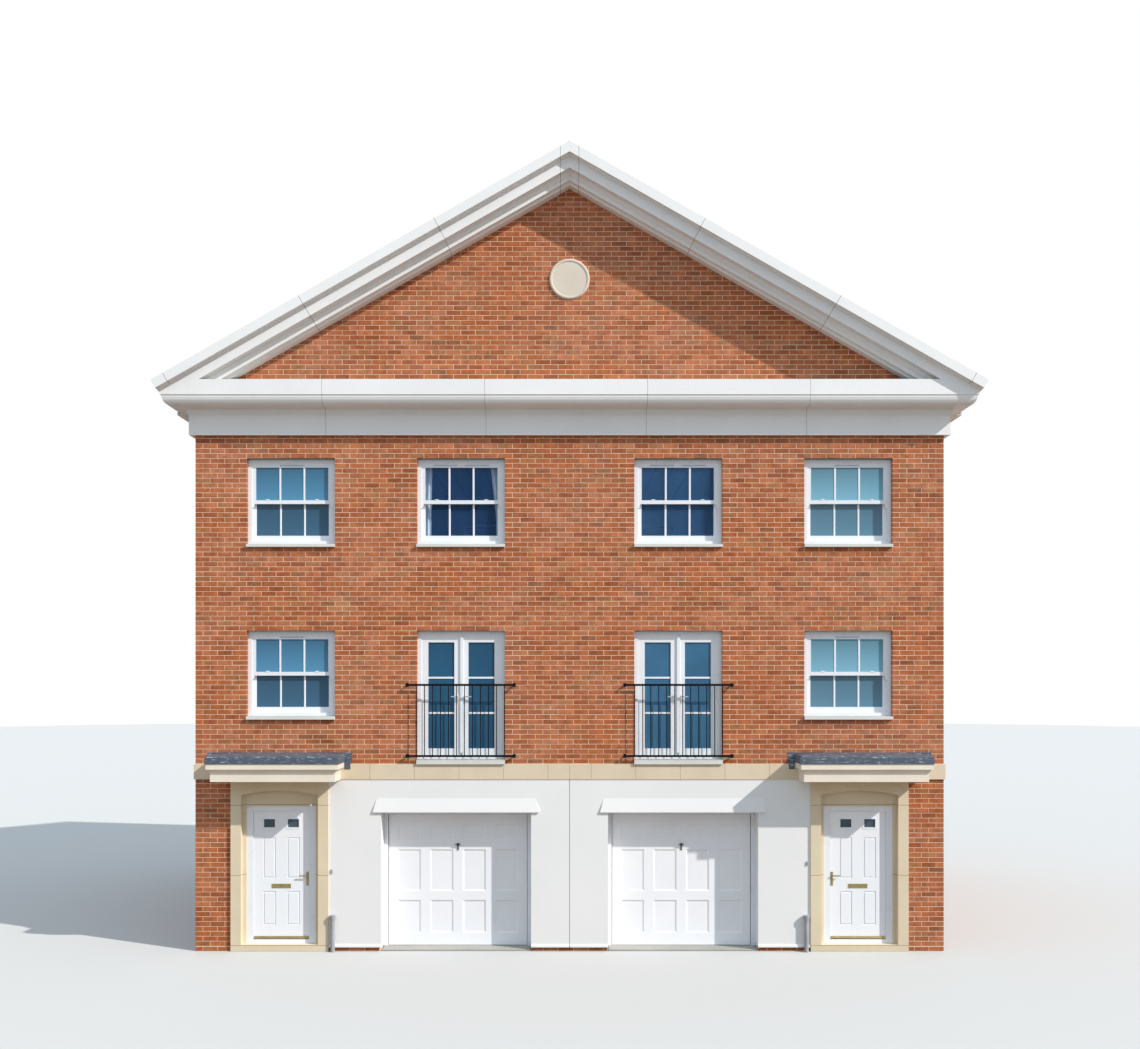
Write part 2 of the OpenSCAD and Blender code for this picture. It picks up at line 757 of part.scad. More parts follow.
// Pipe down each side wall, with a swan neck up to the gutter
module downpipes() {
    wall_x = half_w + downpipe_r + bend_collar;
    neck_z = soffit_z - neck_h;
    top_z = gutter_z - gutter_r;
    bend_z = soffit_z - 40;
    run = [gutter_x - wall_x, bend_z - neck_z];
    color(pipe_black) on_front() both_sides() translate([0, house_depth - downpipe_inset, 0]) {
        translate([wall_x, 0, 0]) cylinder(h = neck_z, r = downpipe_r, $fn = 32);
        for (i = [0:floor((neck_z - clip_z) / clip_pitch)])
            translate([wall_x, 0, clip_z + clip_pitch * i])
                block([-downpipe_r - bend_collar, downpipe_r + bend_collar],
                    [-downpipe_r - 12, downpipe_r + 12], [-15, 15]);
        translate([wall_x, 0, neck_z]) sphere(downpipe_r + bend_collar, $fn = 32);
        translate([wall_x, 0, neck_z]) rotate([0, atan2(run[0], run[1]), 0])
            cylinder(h = norm(run), r = downpipe_r, $fn = 32);
        translate([gutter_x, 0, bend_z]) sphere(downpipe_r + bend_collar, $fn = 32);
        translate([gutter_x, 0, bend_z]) cylinder(h = top_z - bend_z, r = downpipe_r, $fn = 32);
    }
}

module rear_bargeboards() {
    edge = half_w + eaves_w + 30;
    color(white) on_front() both_sides()
        along_y([house_depth + rear_overhang, house_depth + rear_overhang + board_t])
            polygon([[0, rake_z(0, roof_drop)], [edge, rake_z(edge, roof_drop)],
                [edge, roof_under_z(edge) - 40], [0, roof_under_z(0) - 40]]);
}

// Stone sill through the wall, with a sloped top and a drip groove
module stone_sill(x, z, h, back) {
    along_x([x - window_w / 2, x + window_w / 2]) polygon([[-sill_proj, z], [-sill_proj + 15, z],
        [-sill_proj + 15, z + 8], [-sill_proj + 27, z + 8], [-sill_proj + 27, z], [back, z],
        [back, z + h], [reveal_d, z + h], [-sill_proj, z + h - 12]]);
}

module window_sills() {
    color(stone) {
        on_front() {
            for (w = front_windows) stone_sill(w[0], w[1] - window_h, sill_h, wall_t);
            for (g = front_glazed) stone_sill(g[0], g[1], door_sill_h, wall_t);
        }
        on_rear() {
            for (w = concat(rear_upper_windows, rear_ground_windows))
                stone_sill(w[0], w[1] - window_h, sill_h, wall_t);
            for (g = rear_glazed) stone_sill(g[0], g[1], door_sill_h, wall_t);
        }
    }
}

function clear_span(x) = [x - window_w / 2 + frame_face, x + window_w / 2 - frame_face];
frame_y = [reveal_d, reveal_d + frame_d];

module each_window() {
    on_front() for (w = front_windows) {
        $x = w[0];
        $z0 = w[1] - window_z;
        $z1 = w[1];
        children();
    }
    on_rear() for (w = concat(rear_upper_windows, rear_ground_windows)) {
        $x = w[0];
        $z0 = w[1] - window_z;
        $z1 = w[1];
        children();
    }
}

module each_glazed_door() {
    on_front() for (g = front_glazed) {
        $x = g[0];
        $z0 = g[1] + door_sill_h;
        $z1 = g[2];
        children();
    }
    on_rear() for (g = rear_glazed) {
        $x = g[0];
        $z0 = g[1] + door_sill_h;
        $z1 = g[2];
        children();
    }
}

module window_frames() {
    color(white) {
        each_window() ring(span($x), frame_y, [$z0, $z1], frame_face, frame_cill, frame_face);
        each_glazed_door() ring(span($x), frame_y, [$z0, $z1], frame_face, frame_cill, frame_face);
    }
}

// Middle of the meeting rails
function meet_z(z0, z1) = (z0 + frame_cill + z1 - frame_face) / 2;

// Curved horn below one end of an upper sash
module sash_horn() {
    along_y([upper_sash_y, upper_sash_y + sash_d]) translate([frame_face - window_w / 2, 0])
        polygon(concat([[0, 0], [0, -horn_h]],
            quarter([horn_w / 4, -horn_h], [horn_w * 0.7, -horn_h / 2], false, 4),
            quarter([horn_w * 0.7, -horn_h / 2], [horn_w, -horn_h / 8], true, 4), [[horn_w, 0]]));
}

module window_sashes() {
    color(white) each_window() {
        meet = meet_z($z0, $z1);
        ring(clear_span($x), [upper_sash_y, upper_sash_y + sash_d],
            [meet - meeting_rail / 2, $z1 - frame_face], sash_stile, meeting_rail, sash_top);
        translate([$x, 0, meet - meeting_rail / 2]) both_sides() sash_horn();
        ring(clear_span($x), [lower_sash_y, lower_sash_y + sash_d],
            [$z0 + frame_cill, meet + meeting_rail / 2], sash_stile, sash_bottom, meeting_rail);
    }
}

module pane(x, y, z) {
    block([x[0] + sash_stile, x[1] - sash_stile],
        [y + (sash_d - glass_t) / 2, y + (sash_d + glass_t) / 2], z);
}

module window_glass() {
    color(glazing) each_window() {
        meet = meet_z($z0, $z1);
        pane(clear_span($x), upper_sash_y, [meet + meeting_rail / 2, $z1 - frame_face - sash_top]);
        pane(clear_span($x), lower_sash_y, [$z0 + frame_cill + sash_bottom, meet - meeting_rail / 2]);
    }
}

// The two leaves of a glazed door as [left, right] edges
function leaf_spans(x) = [[clear_span(x)[0], x - leaf_gap / 2], [x + leaf_gap / 2, clear_span(x)[1]]];

module glazed_doors() {
    color(white) each_glazed_door() for (s = leaf_spans($x))
        ring(s, [upper_sash_y, upper_sash_y + leaf_t], [$z0 + frame_cill, $z1 - frame_face],
            leaf_stile, leaf_bottom, leaf_top);
}

module glazed_door_glass() {
    color(glazing) each_glazed_door() for (s = leaf_spans($x))
        block([s[0] + leaf_stile, s[1] - leaf_stile],
            [upper_sash_y + (leaf_t - glass_t) / 2, upper_sash_y + (leaf_t + glass_t) / 2],
            [$z0 + frame_cill + leaf_bottom, $z1 - frame_face - leaf_top]);
}

// Underside of each rail of a balcony
rail_zs = [balcony_z, balcony_top_z - rail_h];

// Steel guard: two rails and the round uprights between them
module juliet_balconies() {
    color(steel) on_front() both_sides() translate([inner_x, 0, 0]) {
        for (z = rail_zs)
            block([-balcony_l / 2, balcony_l / 2], [-balcony_gap - rail_t, -balcony_gap], [z, z + rail_h]);
        for (i = [0:bar_count - 1])
            translate([(i - (bar_count - 1) / 2) * bar_pitch, -balcony_gap - rail_t / 2,
                rail_zs[0] + rail_h / 2]) cylinder(h = rail_zs[1] - rail_zs[0], d = bar_d, $fn = 16);
    }
}

// Arms that carry the rails' ends, each on a plate on the wall
module balcony_brackets() {
    arm_x = [balcony_l / 2 - arm_w, balcony_l / 2];
    color(steel) on_front() both_sides() translate([inner_x, 0, 0]) for (rail_z = rail_zs) both_sides() {
        z = rail_z + rail_h / 2;
        block(arm_x, [-balcony_gap, 0], [z - arm_t / 2, z + arm_t / 2]);
        block(arm_x, [-plate_t, 0], [z - plate_h / 2, z + plate_h / 2]);
    }
}

// White moulded canopy over a front door
module door_canopy() {
    difference() {
        mitred(canopy_half_w - canopy_proj, concat(
            [[canopy_proj, string_z], [canopy_proj, canopy_hollow_z]],
            quarter([canopy_proj, canopy_hollow_z], [canopy_proj + canopy_hollow_w, canopy_band_z], true),
            [[canopy_top_proj, canopy_band_z], [canopy_top_proj, canopy_top_z]]), 0);
        block([-3 * canopy_proj, 3 * canopy_proj], [-string_proj, 1], [string_z - 1, wall_z]);
    }
}
module door_canopies() {
    color(white) on_front() both_sides() translate([door_x, 0, 0]) door_canopy();
}

// Lead over a canopy, dressed up the wall with an ear at each end
module canopy_lead() {
    half = canopy_half_w - canopy_proj;
    edge = canopy_top_proj + lead_proj;
    top = canopy_top_z + lead_edge_h - 20;
    mitred(half, [[edge, canopy_top_z], [edge, top], [edge - 20, top + 20], [0, top + 20 + lead_fall]], 0);
    block([-half - edge - lead_ear, half + edge + lead_ear], [-6, 0], [canopy_top_z, top + 20 + lead_fall]);
    both_sides() difference() {
        block([half + edge - 5, half + edge + lead_ear - 20], [-string_proj - 6, 0],
            [wall_z - 75, canopy_top_z + 40]);
        block([0, 3 * canopy_proj], [-string_proj, 1], [string_z - 1, wall_z]);
    }
}
module canopy_leads() {
    color("#5f6871") on_front() both_sides() translate([door_x, 0, 0]) canopy_lead();
}

// Frame of a front door with its stop, threshold and the fixed hinge knuckles
module door_frame() {
    y = [door_frame_y, door_frame_back];
    z = [hall_floor_z, door_head_z];
    difference() {
        block([-frame_half, frame_half], y, z);
        block([-clear_half, clear_half], [y[0] + stop_t, y[1] + 1],
            [z[0] + threshold_h, door_head_z - door_head_face]);
        block([-door_w / 2 + stop_lap, door_w / 2 - stop_lap], [y[0] - 1, y[1]],
            [z[0] + threshold_h, door_head_z - door_head_face - door_gap - stop_lap]);
    }
    for (z = hinge_zs, end = [-1, 1]) translate([-hinge_x, 0, z + end * (knuckle_l + seat)]) {
        translate([0, hinge_y, -knuckle_l / 2]) cylinder(h = knuckle_l, r = knuckle_r, $fn = 24);
        block([-30, 0], [door_frame_back, door_frame_back + 3], [-knuckle_l / 2, knuckle_l / 2]);
    }
}
module door_frames() {
    color(white) on_front() {
        translate([-door_x, 0, 0]) door_frame();
        translate([door_x, 0, 0]) mirror([1, 0, 0]) door_frame();
    }
}

// Raised panels of a front door as [x, z, width, height] from the leaf's lower corner
panel_w = 192;
panel_xs = [157, 521];
panel_rows = [[207, 513], [920, 619]];
// Distance from the leaf's foot to the middle of the lights
light_up = 1756;

// An opening for each light, on the leaf's face
module each_light() {
    for (x = panel_xs) translate([x + panel_w / 2, 0, light_up]) children();
}

module front_door() {
    translate([-door_w / 2, door_y, door_z]) {
        difference() {
            union() {
                cube([door_w, door_t, door_top_z - door_z]);
                each_light() block([-light_w / 2 - light_bead, light_w / 2 + light_bead], [-5, 1],
                    [-light_h / 2 - light_bead, light_h / 2 + light_bead]);
            }
            each_light() block([-light_w / 2, light_w / 2], [-6, door_t + 1], [-light_h / 2, light_h / 2]);
            for (x = panel_xs, row = panel_rows) difference() {
                block([x, x + panel_w], [-1, 8], [row[0], row[0] + row[1]]);
                block([x + 22, x + panel_w - 22], [-1, 8], [row[0] + 22, row[0] + row[1] - 22]);
            }
        }
    }
    for (z = hinge_zs) translate([-hinge_x, 0, z]) {
        translate([0, hinge_y, -knuckle_l / 2]) cylinder(h = knuckle_l, r = knuckle_r, $fn = 24);
        block([0, 35], [door_y + door_t, hinge_y - 1], [-knuckle_l / 2, knuckle_l / 2]);
    }
}
module front_door_left() { color(door_white) on_front() translate([-door_x, 0, 0]) front_door(); }
module front_door_right() { mirror([1, 0, 0]) front_door_left(); }

module front_door_glass_left() {
    color(glazing) on_front() translate([-door_x - door_w / 2, door_y, door_z]) each_light()
        block([-light_w / 2, light_w / 2], [(door_t - glass_t) / 2, (door_t + glass_t) / 2],
            [-light_h / 2, light_h / 2]);
}
module front_door_glass_right() { mirror([1, 0, 0]) front_door_glass_left(); }

// Letter plate, weatherbar, and a lever handle on each face
module door_furniture() {
    z = 1080;
    x = door_w / 2 - stop_lap - 28;
    for (side = [0, 1]) translate([x, side == 0 ? door_y : door_y + door_t, 0])
        mirror([0, side, 0]) {
            block([-18, 18], [-7, 0], [z - 104, z + 104]);
            translate([0, 0, z + 48]) rotate([90, 0, 0]) cylinder(h = 50, r = 9, $fn = 24);
            block([-120, 9], [-50, -38], [z + 40, z + 56]);
        }
    block([-letter_w / 2, letter_w / 2], [door_y - 6, door_y],
        [letter_z - letter_h / 2, letter_z + letter_h / 2]);
    bar_half = door_w / 2 - stop_lap - 14;
    along_x([-bar_half, bar_half]) translate([door_y, door_z + 8])
        polygon([[0, 0], [-20, 0], [-20, 6], [-8, bar_h], [0, bar_h]]);
}
module door_furniture_left() {
    color("#b99a52") on_front() translate([-door_x, 0, 0]) door_furniture();
}
module door_furniture_right() { mirror([1, 0, 0]) door_furniture_left(); }

// Timber posts behind each garage opening, and the thin head board between them
module garage_posts() {
    color(white) on_front() both_sides() translate([garage_x, 0, 0]) both_sides()
        block([post_in, garage_half + garage_frame_lap], [wall_t, wall_t + garage_post_d],
            [garage_floor_z, garage_head_z + garage_frame_lap]);
}
module garage_heads() {
    color(white) on_front() both_sides() translate([garage_x, 0, 0])
        block([-post_in, post_in], [wall_t, wall_t + garage_head_t],
            [head_z, garage_head_z + garage_frame_lap]);
}

// Steel channel on the back of each post, in which the roller runs
module garage_tracks() {
    z = [garage_floor_z + track_foot, pivot_z + lift + track_over];
    color("#8d9296") on_front() both_sides() translate([garage_x, 0, 0]) both_sides() difference() {
        block([track_x, track_x + track_w], [track_y, track_y + track_gap + 2 * track_t], z);
        block([track_x - 1, track_x + track_w - track_t], [track_y + track_t, track_y + track_t + track_gap],
            [z[0] - 1, z[1] + 1]);
    }
}

module garage_rollers() {
    hub_x = leaf_half + 4;
    both_sides() translate([0, pivot_y, pivot_z]) rotate([0, 90, 0]) {
        translate([0, 0, hub_x + seat]) cylinder(h = track_x + 6 - hub_x - seat, r = 8, $fn = 24);
        translate([0, 0, track_x + 4]) cylinder(h = track_w - track_t - 4 - seat, r = roller_r, $fn = 32);
    }
}
module garage_rollers_left() {
    color("#3a3d40") on_front() translate([-garage_x, 0, 0]) garage_rollers();
}
module garage_rollers_right() { mirror([1, 0, 0]) garage_rollers_left(); }

// Sunk panels of a garage door, in rows as [height above the ground, height]
garage_rows = [[210, 505], [855, 640], [1633, 250]];
garage_panel_w = 356;
garage_pitch = 500;

// Up-and-over leaf with its pivot brackets
module garage_door() {
    relief = 11;
    slope = 24;
    difference() {
        block([-leaf_half, leaf_half], [leaf_y, leaf_y + garage_leaf_t], [leaf_z, leaf_top_z]);
        for (i = [-1.5:1:1.5], row = garage_rows) intersection() {
            across = [for (end = [-1, 1]) i * garage_pitch + end * garage_panel_w / 2];
            up = [row[0], row[0] + row[1]];
            along_x(across) polygon([[leaf_y - 1, up[0]], [leaf_y, up[0]], [leaf_y + relief, up[0] + slope],
                [leaf_y + relief, up[1] - slope], [leaf_y, up[1]], [leaf_y - 1, up[1]]]);
            translate([0, 0, up[0]]) linear_extrude(row[1]) polygon([[across[0], leaf_y - 1], [across[0], leaf_y],
                [across[0] + slope, leaf_y + relief], [across[1] - slope, leaf_y + relief],
                [across[1], leaf_y], [across[1], leaf_y - 1]]);
        }
    }
    both_sides() {
        block([leaf_half - 40, leaf_half - 10], [leaf_y + garage_leaf_t, pivot_y + 14],
            [pivot_z - 50, pivot_z + 50]);
        translate([leaf_half - 15, pivot_y, pivot_z]) rotate([0, 90, 0]) cylinder(h = 19, r = 12, $fn = 24);
    }
}
module garage_door_left() {
    color(door_white) on_front() translate([-garage_x, 0, 0]) garage_door();
}
module garage_door_right() { mirror([1, 0, 0]) garage_door_left(); }

// T handle in the middle of the leaf
module garage_handle() {
    translate([0, leaf_y, garage_handle_z]) rotate([90, 0, 0]) {
        translate([-15, -92, 0]) cube([30, 108, 7]);
        cylinder(h = 38, r = 8, $fn = 24);
        translate([-38, 0, 36]) rotate([0, 90, 0]) cylinder(h = 76, r = 8, $fn = 24);
    }
}
module garage_handle_left() { color("#2b2d30") on_front() translate([-garage_x, 0, 0]) garage_handle(); }
module garage_handle_right() { mirror([1, 0, 0]) garage_handle_left(); }

// Short grey pipes that stand against the render beside the surrounds
module waste_pipes() {
    color("#8c8f92") on_front() both_sides()
        translate([surround_in - 70, -render_t - bell_proj - pipe_r, 0])
            cylinder(h = pipe_h, r = pipe_r, $fn = 32);
}

ground_slab();
ground_wall_piers();
ground_wall_lintels();
render_piers();
render_band();
door_surrounds();
string_course();
front_wall_piers();
front_wall_bands();
left_wall();
right_wall();
rear_wall_piers();
rear_wall_bands();
party_wall();
first_floor();
second_floor();
attic_floor();
front_gable();
rear_gable();
round_plaque();
frieze();
cornice();
raking_cornice();
roof_left();
roof_right();
ridge_tiles();
eaves();
gutters();
downpipes();
rear_bargeboards();
window_sills();
window_frames();
window_sashes();
window_glass();
glazed_doors();
glazed_door_glass();
juliet_balconies();
balcony_brackets();
door_canopies();
canopy_leads();
door_frames();
garage_posts();
garage_heads();
garage_tracks();
waste_pipes();
front_door_left();
front_door_right();
front_door_glass_left();
front_door_glass_right();
door_furniture_left();
door_furniture_right();
garage_rollers_left();
garage_rollers_right();
garage_door_left();
garage_door_right();
garage_handle_left();
garage_handle_right();
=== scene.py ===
import json
import math
import random

import bmesh
import bpy
from mathutils import Matrix, Vector


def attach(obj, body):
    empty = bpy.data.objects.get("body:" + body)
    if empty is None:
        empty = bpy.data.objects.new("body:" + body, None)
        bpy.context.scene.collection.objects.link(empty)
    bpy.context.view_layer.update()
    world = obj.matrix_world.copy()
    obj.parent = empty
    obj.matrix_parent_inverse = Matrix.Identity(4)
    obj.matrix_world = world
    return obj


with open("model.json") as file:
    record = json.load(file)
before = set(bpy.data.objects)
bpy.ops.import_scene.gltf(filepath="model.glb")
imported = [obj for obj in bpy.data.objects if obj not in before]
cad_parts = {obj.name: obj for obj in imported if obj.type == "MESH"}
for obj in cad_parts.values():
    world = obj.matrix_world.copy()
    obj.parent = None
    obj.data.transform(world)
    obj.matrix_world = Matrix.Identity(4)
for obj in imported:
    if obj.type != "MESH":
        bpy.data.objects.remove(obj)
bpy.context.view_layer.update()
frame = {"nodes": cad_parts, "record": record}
scene = bpy.context.scene
nodes = frame["nodes"]
print("frame loaded:", len(nodes), "nodes")


class Sizes(dict):
    # Named values of one thing, each read by its name
    def __getattr__(self, name):
        return self[name]


# The street face of the brickwork is at y = -4.5, and depths run backwards from it
house = Sizes(
    halfWidth=5.66, halfDepth=4.5, slope=29.7, roofRise=0.5704, outerWindow=4.22, innerWindow=1.646,
    openingWidth=1.337, openingHeight=1.344, groundHead=2.16, firstHead=4.85, secondHead=7.46, stringTop=2.83,
    rearSill=0.816, rearDoorFoot=0.10)


def place(name, data):
    made = bpy.data.objects.new(name, data)
    scene.collection.objects.link(made)
    return made


def rgb(red, green, blue):
    # A screen colour from 0 to 255 as the linear colour that shaders take
    shares = [c / 255 for c in (red, green, blue)]
    return (*[c / 12.92 if c <= 0.04045 else ((c + 0.055) / 1.055) ** 2.4 for c in shares], 1.0)


def grey(level):
    return (level, level, level, 1.0)


# Nodes

def feed(tree, source, target):
    # A socket is linked, and a plain value is set
    if hasattr(source, "is_output"):
        tree.links.new(source, target)
    else:
        target.default_value = source


def addNode(tree, kind, inputs=None, **values):
    made = tree.nodes.new(kind)
    for key, value in values.items():
        setattr(made, key, value)
    for key, value in (inputs or {}).items():
        feed(tree, value, made.inputs[key])
    return made


def firstOut(tree, kind, inputs=None, **values):
    return addNode(tree, kind, inputs, **values).outputs[0]


def calc(tree, operation, *values):
    return firstOut(tree, "ShaderNodeMath", dict(enumerate(values)), operation=operation)


def mixColours(tree, fac, first, second, kind="MIX"):
    # The colour sockets of a Mix node stand behind those for numbers and vectors
    made = addNode(tree, "ShaderNodeMix", {0: fac, 6: first, 7: second}, data_type="RGBA", blend_type=kind)
    return made.outputs[2]


def plainRays(tree):
    # One for rays that come from the camera, a mirror surface or glass
    path = addNode(tree, "ShaderNodeLightPath").outputs
    seen = calc(tree, "MAXIMUM", path["Is Camera Ray"], path["Is Glossy Ray"])
    return calc(tree, "MAXIMUM", seen, path["Is Transmission Ray"])


class Finish:
    # A surface on Object coordinates: colour and height are built up, then joined to the shader

    def __init__(self, name, roughness, metallic=0.0, specular=0.5):
        self.mat = bpy.data.materials.new(name)
        self.mat.use_nodes = True
        self.tree = self.mat.node_tree
        self.shader = self.tree.nodes["Principled BSDF"]
        self.give("Roughness", roughness)
        self.give("Metallic", metallic)
        self.give("Specular IOR Level", specular)
        self.place = addNode(self.tree, "ShaderNodeTexCoord").outputs["Object"]
        self.axes = addNode(self.tree, "ShaderNodeSeparateXYZ", {0: self.place}).outputs

    def give(self, name, value):
        feed(self.tree, value, self.shader.inputs[name])

    def calc(self, operation, *values):
        return calc(self.tree, operation, *values)

    def weigh(self, first, share, second):
        return self.calc("MULTIPLY_ADD", first, share, self.calc("MULTIPLY", second, 1 - share))

    def skyward(self):
        # Nought on upright faces, one on faces that lie under the sky
        normal = addNode(self.tree, "ShaderNodeTexCoord").outputs["Normal"]
        upward = addNode(self.tree, "ShaderNodeSeparateXYZ", {0: normal}).outputs["Z"]
        return self.ramp(upward, [(0.45, grey(0.0)), (0.8, grey(1.0))])

    def stretched(self, scale):
        return firstOut(self.tree, "ShaderNodeMapping", {"Vector": self.place, "Scale": scale})

    def noise(self, scale, detail=4.0, rough=0.55, place=None):
        given = {"Vector": place or self.place, "Scale": scale, "Detail": detail, "Roughness": rough}
        return firstOut(self.tree, "ShaderNodeTexNoise", given)

    def tone(self):
        # Each brick or slate carries a number of its own
        kept = addNode(self.tree, "ShaderNodeAttribute", attribute_name="tone", attribute_type="GEOMETRY")
        return kept.outputs["Fac"]

    def ramp(self, fac, stops):
        made = addNode(self.tree, "ShaderNodeValToRGB", {0: fac})
        band = made.color_ramp
        while len(band.elements) < len(stops):
            band.elements.new(0.5)
        for element, (position, colour) in zip(band.elements, stops):
            element.position = position
            element.color = colour
        return made.outputs[0]

    def blend(self, fac, first, second):
        return mixColours(self.tree, fac, first, second)

    def times(self, first, second):
        return mixColours(self.tree, 1.0, first, second, "MULTIPLY")

    def joints(self, along, pitch, offset, width):
        # One within half a joint's width of each line along an axis
        turns = self.calc("DIVIDE", self.calc("SUBTRACT", along, offset - pitch / 2), pitch)
        away = self.calc("ABSOLUTE", self.calc("SUBTRACT", self.calc("FRACT", turns), 0.5))
        return self.calc("LESS_THAN", self.calc("MULTIPLY", away, pitch), width / 2)

    def done(self, colour, height, depth, strength, roughness=None):
        self.give("Base Color", colour)
        if roughness is not None:
            self.give("Roughness", roughness)
        bump = {"Strength": strength, "Distance": depth, "Height": height}
        self.give("Normal", firstOut(self.tree, "ShaderNodeBump", bump))
        return self.mat


# Camera, floor and light

cameraView = Sizes(
    eyeHeight=4.2, distance=19.5, lens=40.67, sensor=36.0, farthest=300.0, wide=1140, high=1049,
    pixelsPerMetre=66.05, centreColumn=569.6, rowOfKnownHeight=915.0, knownHeight=0.545)
lighting = Sizes(
    sunStrength=4.12, sunSoftness=0.8, sunPath=(-1.80, 1.0, -1.52), sunColour=(1.0, 0.962, 0.90),
    skyStrength=0.95, skyColour=(0.73, 0.87, 1.0, 1.0))
floorLook = Sizes(
    radius=90.0, sides=96, below=0.002, roughness=0.9, specular=0.1, seen=(0.56, 0.555, 0.545, 1.0),
    bounce=(0.21, 0.153, 0.106, 1.0))


def makeCamera():
    data = bpy.data.cameras.new("streetCamera")
    camera = place("streetCamera", data)
    view = cameraView
    horizon = view.rowOfKnownHeight - (view.eyeHeight - view.knownHeight) * view.pixelsPerMetre
    data.sensor_width = view.sensor
    data.sensor_fit = "HORIZONTAL"
    data.lens = view.lens
    data.shift_x = (view.wide / 2 - view.centreColumn) / view.wide
    data.shift_y = (horizon - view.high / 2) / view.wide
    data.clip_end = view.farthest
    camera.location = (0.0, -house.halfDepth - view.distance, view.eyeHeight)
    camera.rotation_euler = (math.radians(90), 0.0, 0.0)
    scene.camera = camera


def makeLight():
    world = bpy.data.worlds.new("paleStudio")
    world.use_nodes = True
    tree = world.node_tree
    tree.nodes.clear()
    sky = firstOut(
        tree, "ShaderNodeBackground", {"Color": lighting.skyColour, "Strength": lighting.skyStrength})
    white = firstOut(tree, "ShaderNodeBackground", {"Color": grey(1.0), "Strength": 1.0})
    mixed = firstOut(tree, "ShaderNodeMixShader", {0: plainRays(tree), 1: sky, 2: white})
    addNode(tree, "ShaderNodeOutputWorld", {"Surface": mixed})
    scene.world = world
    sun = bpy.data.lights.new("keyLight", "SUN")
    sun.energy = lighting.sunStrength
    sun.angle = math.radians(lighting.sunSoftness)
    sun.color = lighting.sunColour
    lamp = place("keyLight", sun)
    lamp.rotation_euler = Vector(lighting.sunPath).to_track_quat("-Z", "Y").to_euler()


def makeFloor():
    # A wide pale disc that throws little light back up, as paving and lawn would
    look = floorLook
    turns = [2 * math.pi * i / look.sides for i in range(look.sides)]
    rim = [(look.radius * math.cos(a), look.radius * math.sin(a), -look.below) for a in turns]
    mesh = bpy.data.meshes.new("studioFloor")
    mesh.from_pydata(rim, [], [list(range(len(rim)))])
    floor = place("studioFloor", mesh)
    f = Finish("studioFloor", look.roughness, specular=look.specular)
    f.give("Base Color", f.blend(plainRays(f.tree), look.bounce, look.seen))
    mesh.materials.append(f.mat)


scene.view_settings.view_transform = "Standard"
makeCamera()
makeLight()
makeFloor()
print("camera, light and floor made")


# Finishes

def plainFinish(name, dark, light, roughness, cloud, grain, depth, spread=0.1, metallic=0.0, specular=0.5,
                stretch=(1, 1, 1), strength=0.6):
    # cloud and grain are the scales of the broad and the fine pattern
    f = Finish(name, roughness, metallic, specular)
    where = f.stretched(stretch)
    clouds = f.noise(cloud, 5.0, 0.6, where)
    grains = f.noise(grain, 3.0, 0.6, where)
    colour = f.ramp(f.weigh(grains, 0.35, clouds), [(0.32, rgb(*dark)), (0.68, rgb(*light))])
    rough = f.calc("MULTIPLY_ADD", clouds, spread, roughness - spread / 2)
    return f.done(colour, grains, depth, strength, rough)


def metalFinish(name, dark, light, roughness, metallic, grain=220.0):
    return plainFinish(
        name, dark, light, roughness, cloud=14.0, grain=grain, depth=0.0003, metallic=metallic, spread=0.12,
        strength=0.4)


brickLook = Sizes(
    deepRed=rgb(160, 93, 60), red=rgb(176, 103, 67), orange=rgb(189, 114, 74), pink=rgb(194, 123, 87),
    brown=rgb(156, 101, 69), buff=rgb(184, 125, 85), burnt=(0.71, 0.69, 0.68, 1.0),
    bright=(1.07, 1.05, 1.02, 1.0), sandDark=(0.8, 0.79, 0.78, 1.0), sandLight=(1.12, 1.1, 1.08, 1.0),
    warmPatch=(0.96, 0.90, 0.79, 1.0), coolPatch=(1.02, 1.08, 1.22, 1.0), mottleScale=9.0, sandScale=70.0,
    patchScale=0.75)


def brickFinish():
    f = Finish("claybrick", 0.86, specular=0.25)
    look = brickLook
    tones = [(0.0, look.deepRed), (0.12, look.red), (0.42, look.orange), (0.62, look.pink), (0.8, look.red),
             (0.92, look.buff), (1.0, look.brown)]
    base = f.ramp(f.tone(), tones)
    mottle = f.ramp(f.noise(look.mottleScale, 5.0, 0.7), [(0.36, look.burnt), (0.62, look.bright)])
    streaks = f.noise(look.sandScale, 4.0, 0.7, f.stretched((1.0, 1.0, 3.2)))
    sand = f.ramp(streaks, [(0.35, look.sandDark), (0.7, look.sandLight)])
    # Broad patches where the firing and the lime in the wall differ
    patches = f.noise(look.patchScale, 4.0, 0.6, f.stretched((1.0, 1.0, 1.7)))
    wash = f.ramp(patches, [(0.41, look.warmPatch), (0.5, grey(0.99)), (0.59, look.coolPatch)])
    return f.done(f.times(f.times(f.times(base, mottle), sand), wash), streaks, 0.0025, 0.8)


mortarLook = Sizes(
    mortar=rgb(234, 198, 170), mortarDark=rgb(210, 174, 148), plaster=rgb(222, 214, 200),
    plasterDark=rgb(212, 204, 190), insideX=5.5, insideY=4.31)


def wallFinish():
    # Mortar on the outside of the walls, plaster on the inside
    f = Finish("mortarAndPlaster", 0.92, specular=0.2)
    look = mortarLook
    outX = f.calc("GREATER_THAN", f.calc("ABSOLUTE", f.axes["X"]), look.insideX)
    outY = f.calc("GREATER_THAN", f.calc("ABSOLUTE", f.axes["Y"]), look.insideY)
    grains = f.noise(220.0, 3.0)
    clouds = f.noise(2.2, 5.0)
    mortar = f.ramp(f.weigh(grains, 0.5, clouds), [(0.35, look.mortarDark), (0.65, look.mortar)])
    plaster = f.ramp(clouds, [(0.3, look.plasterDark), (0.7, look.plaster)])
    return f.done(f.blend(f.calc("MAXIMUM", outX, outY), plaster, mortar), grains, 0.0015, 0.5)


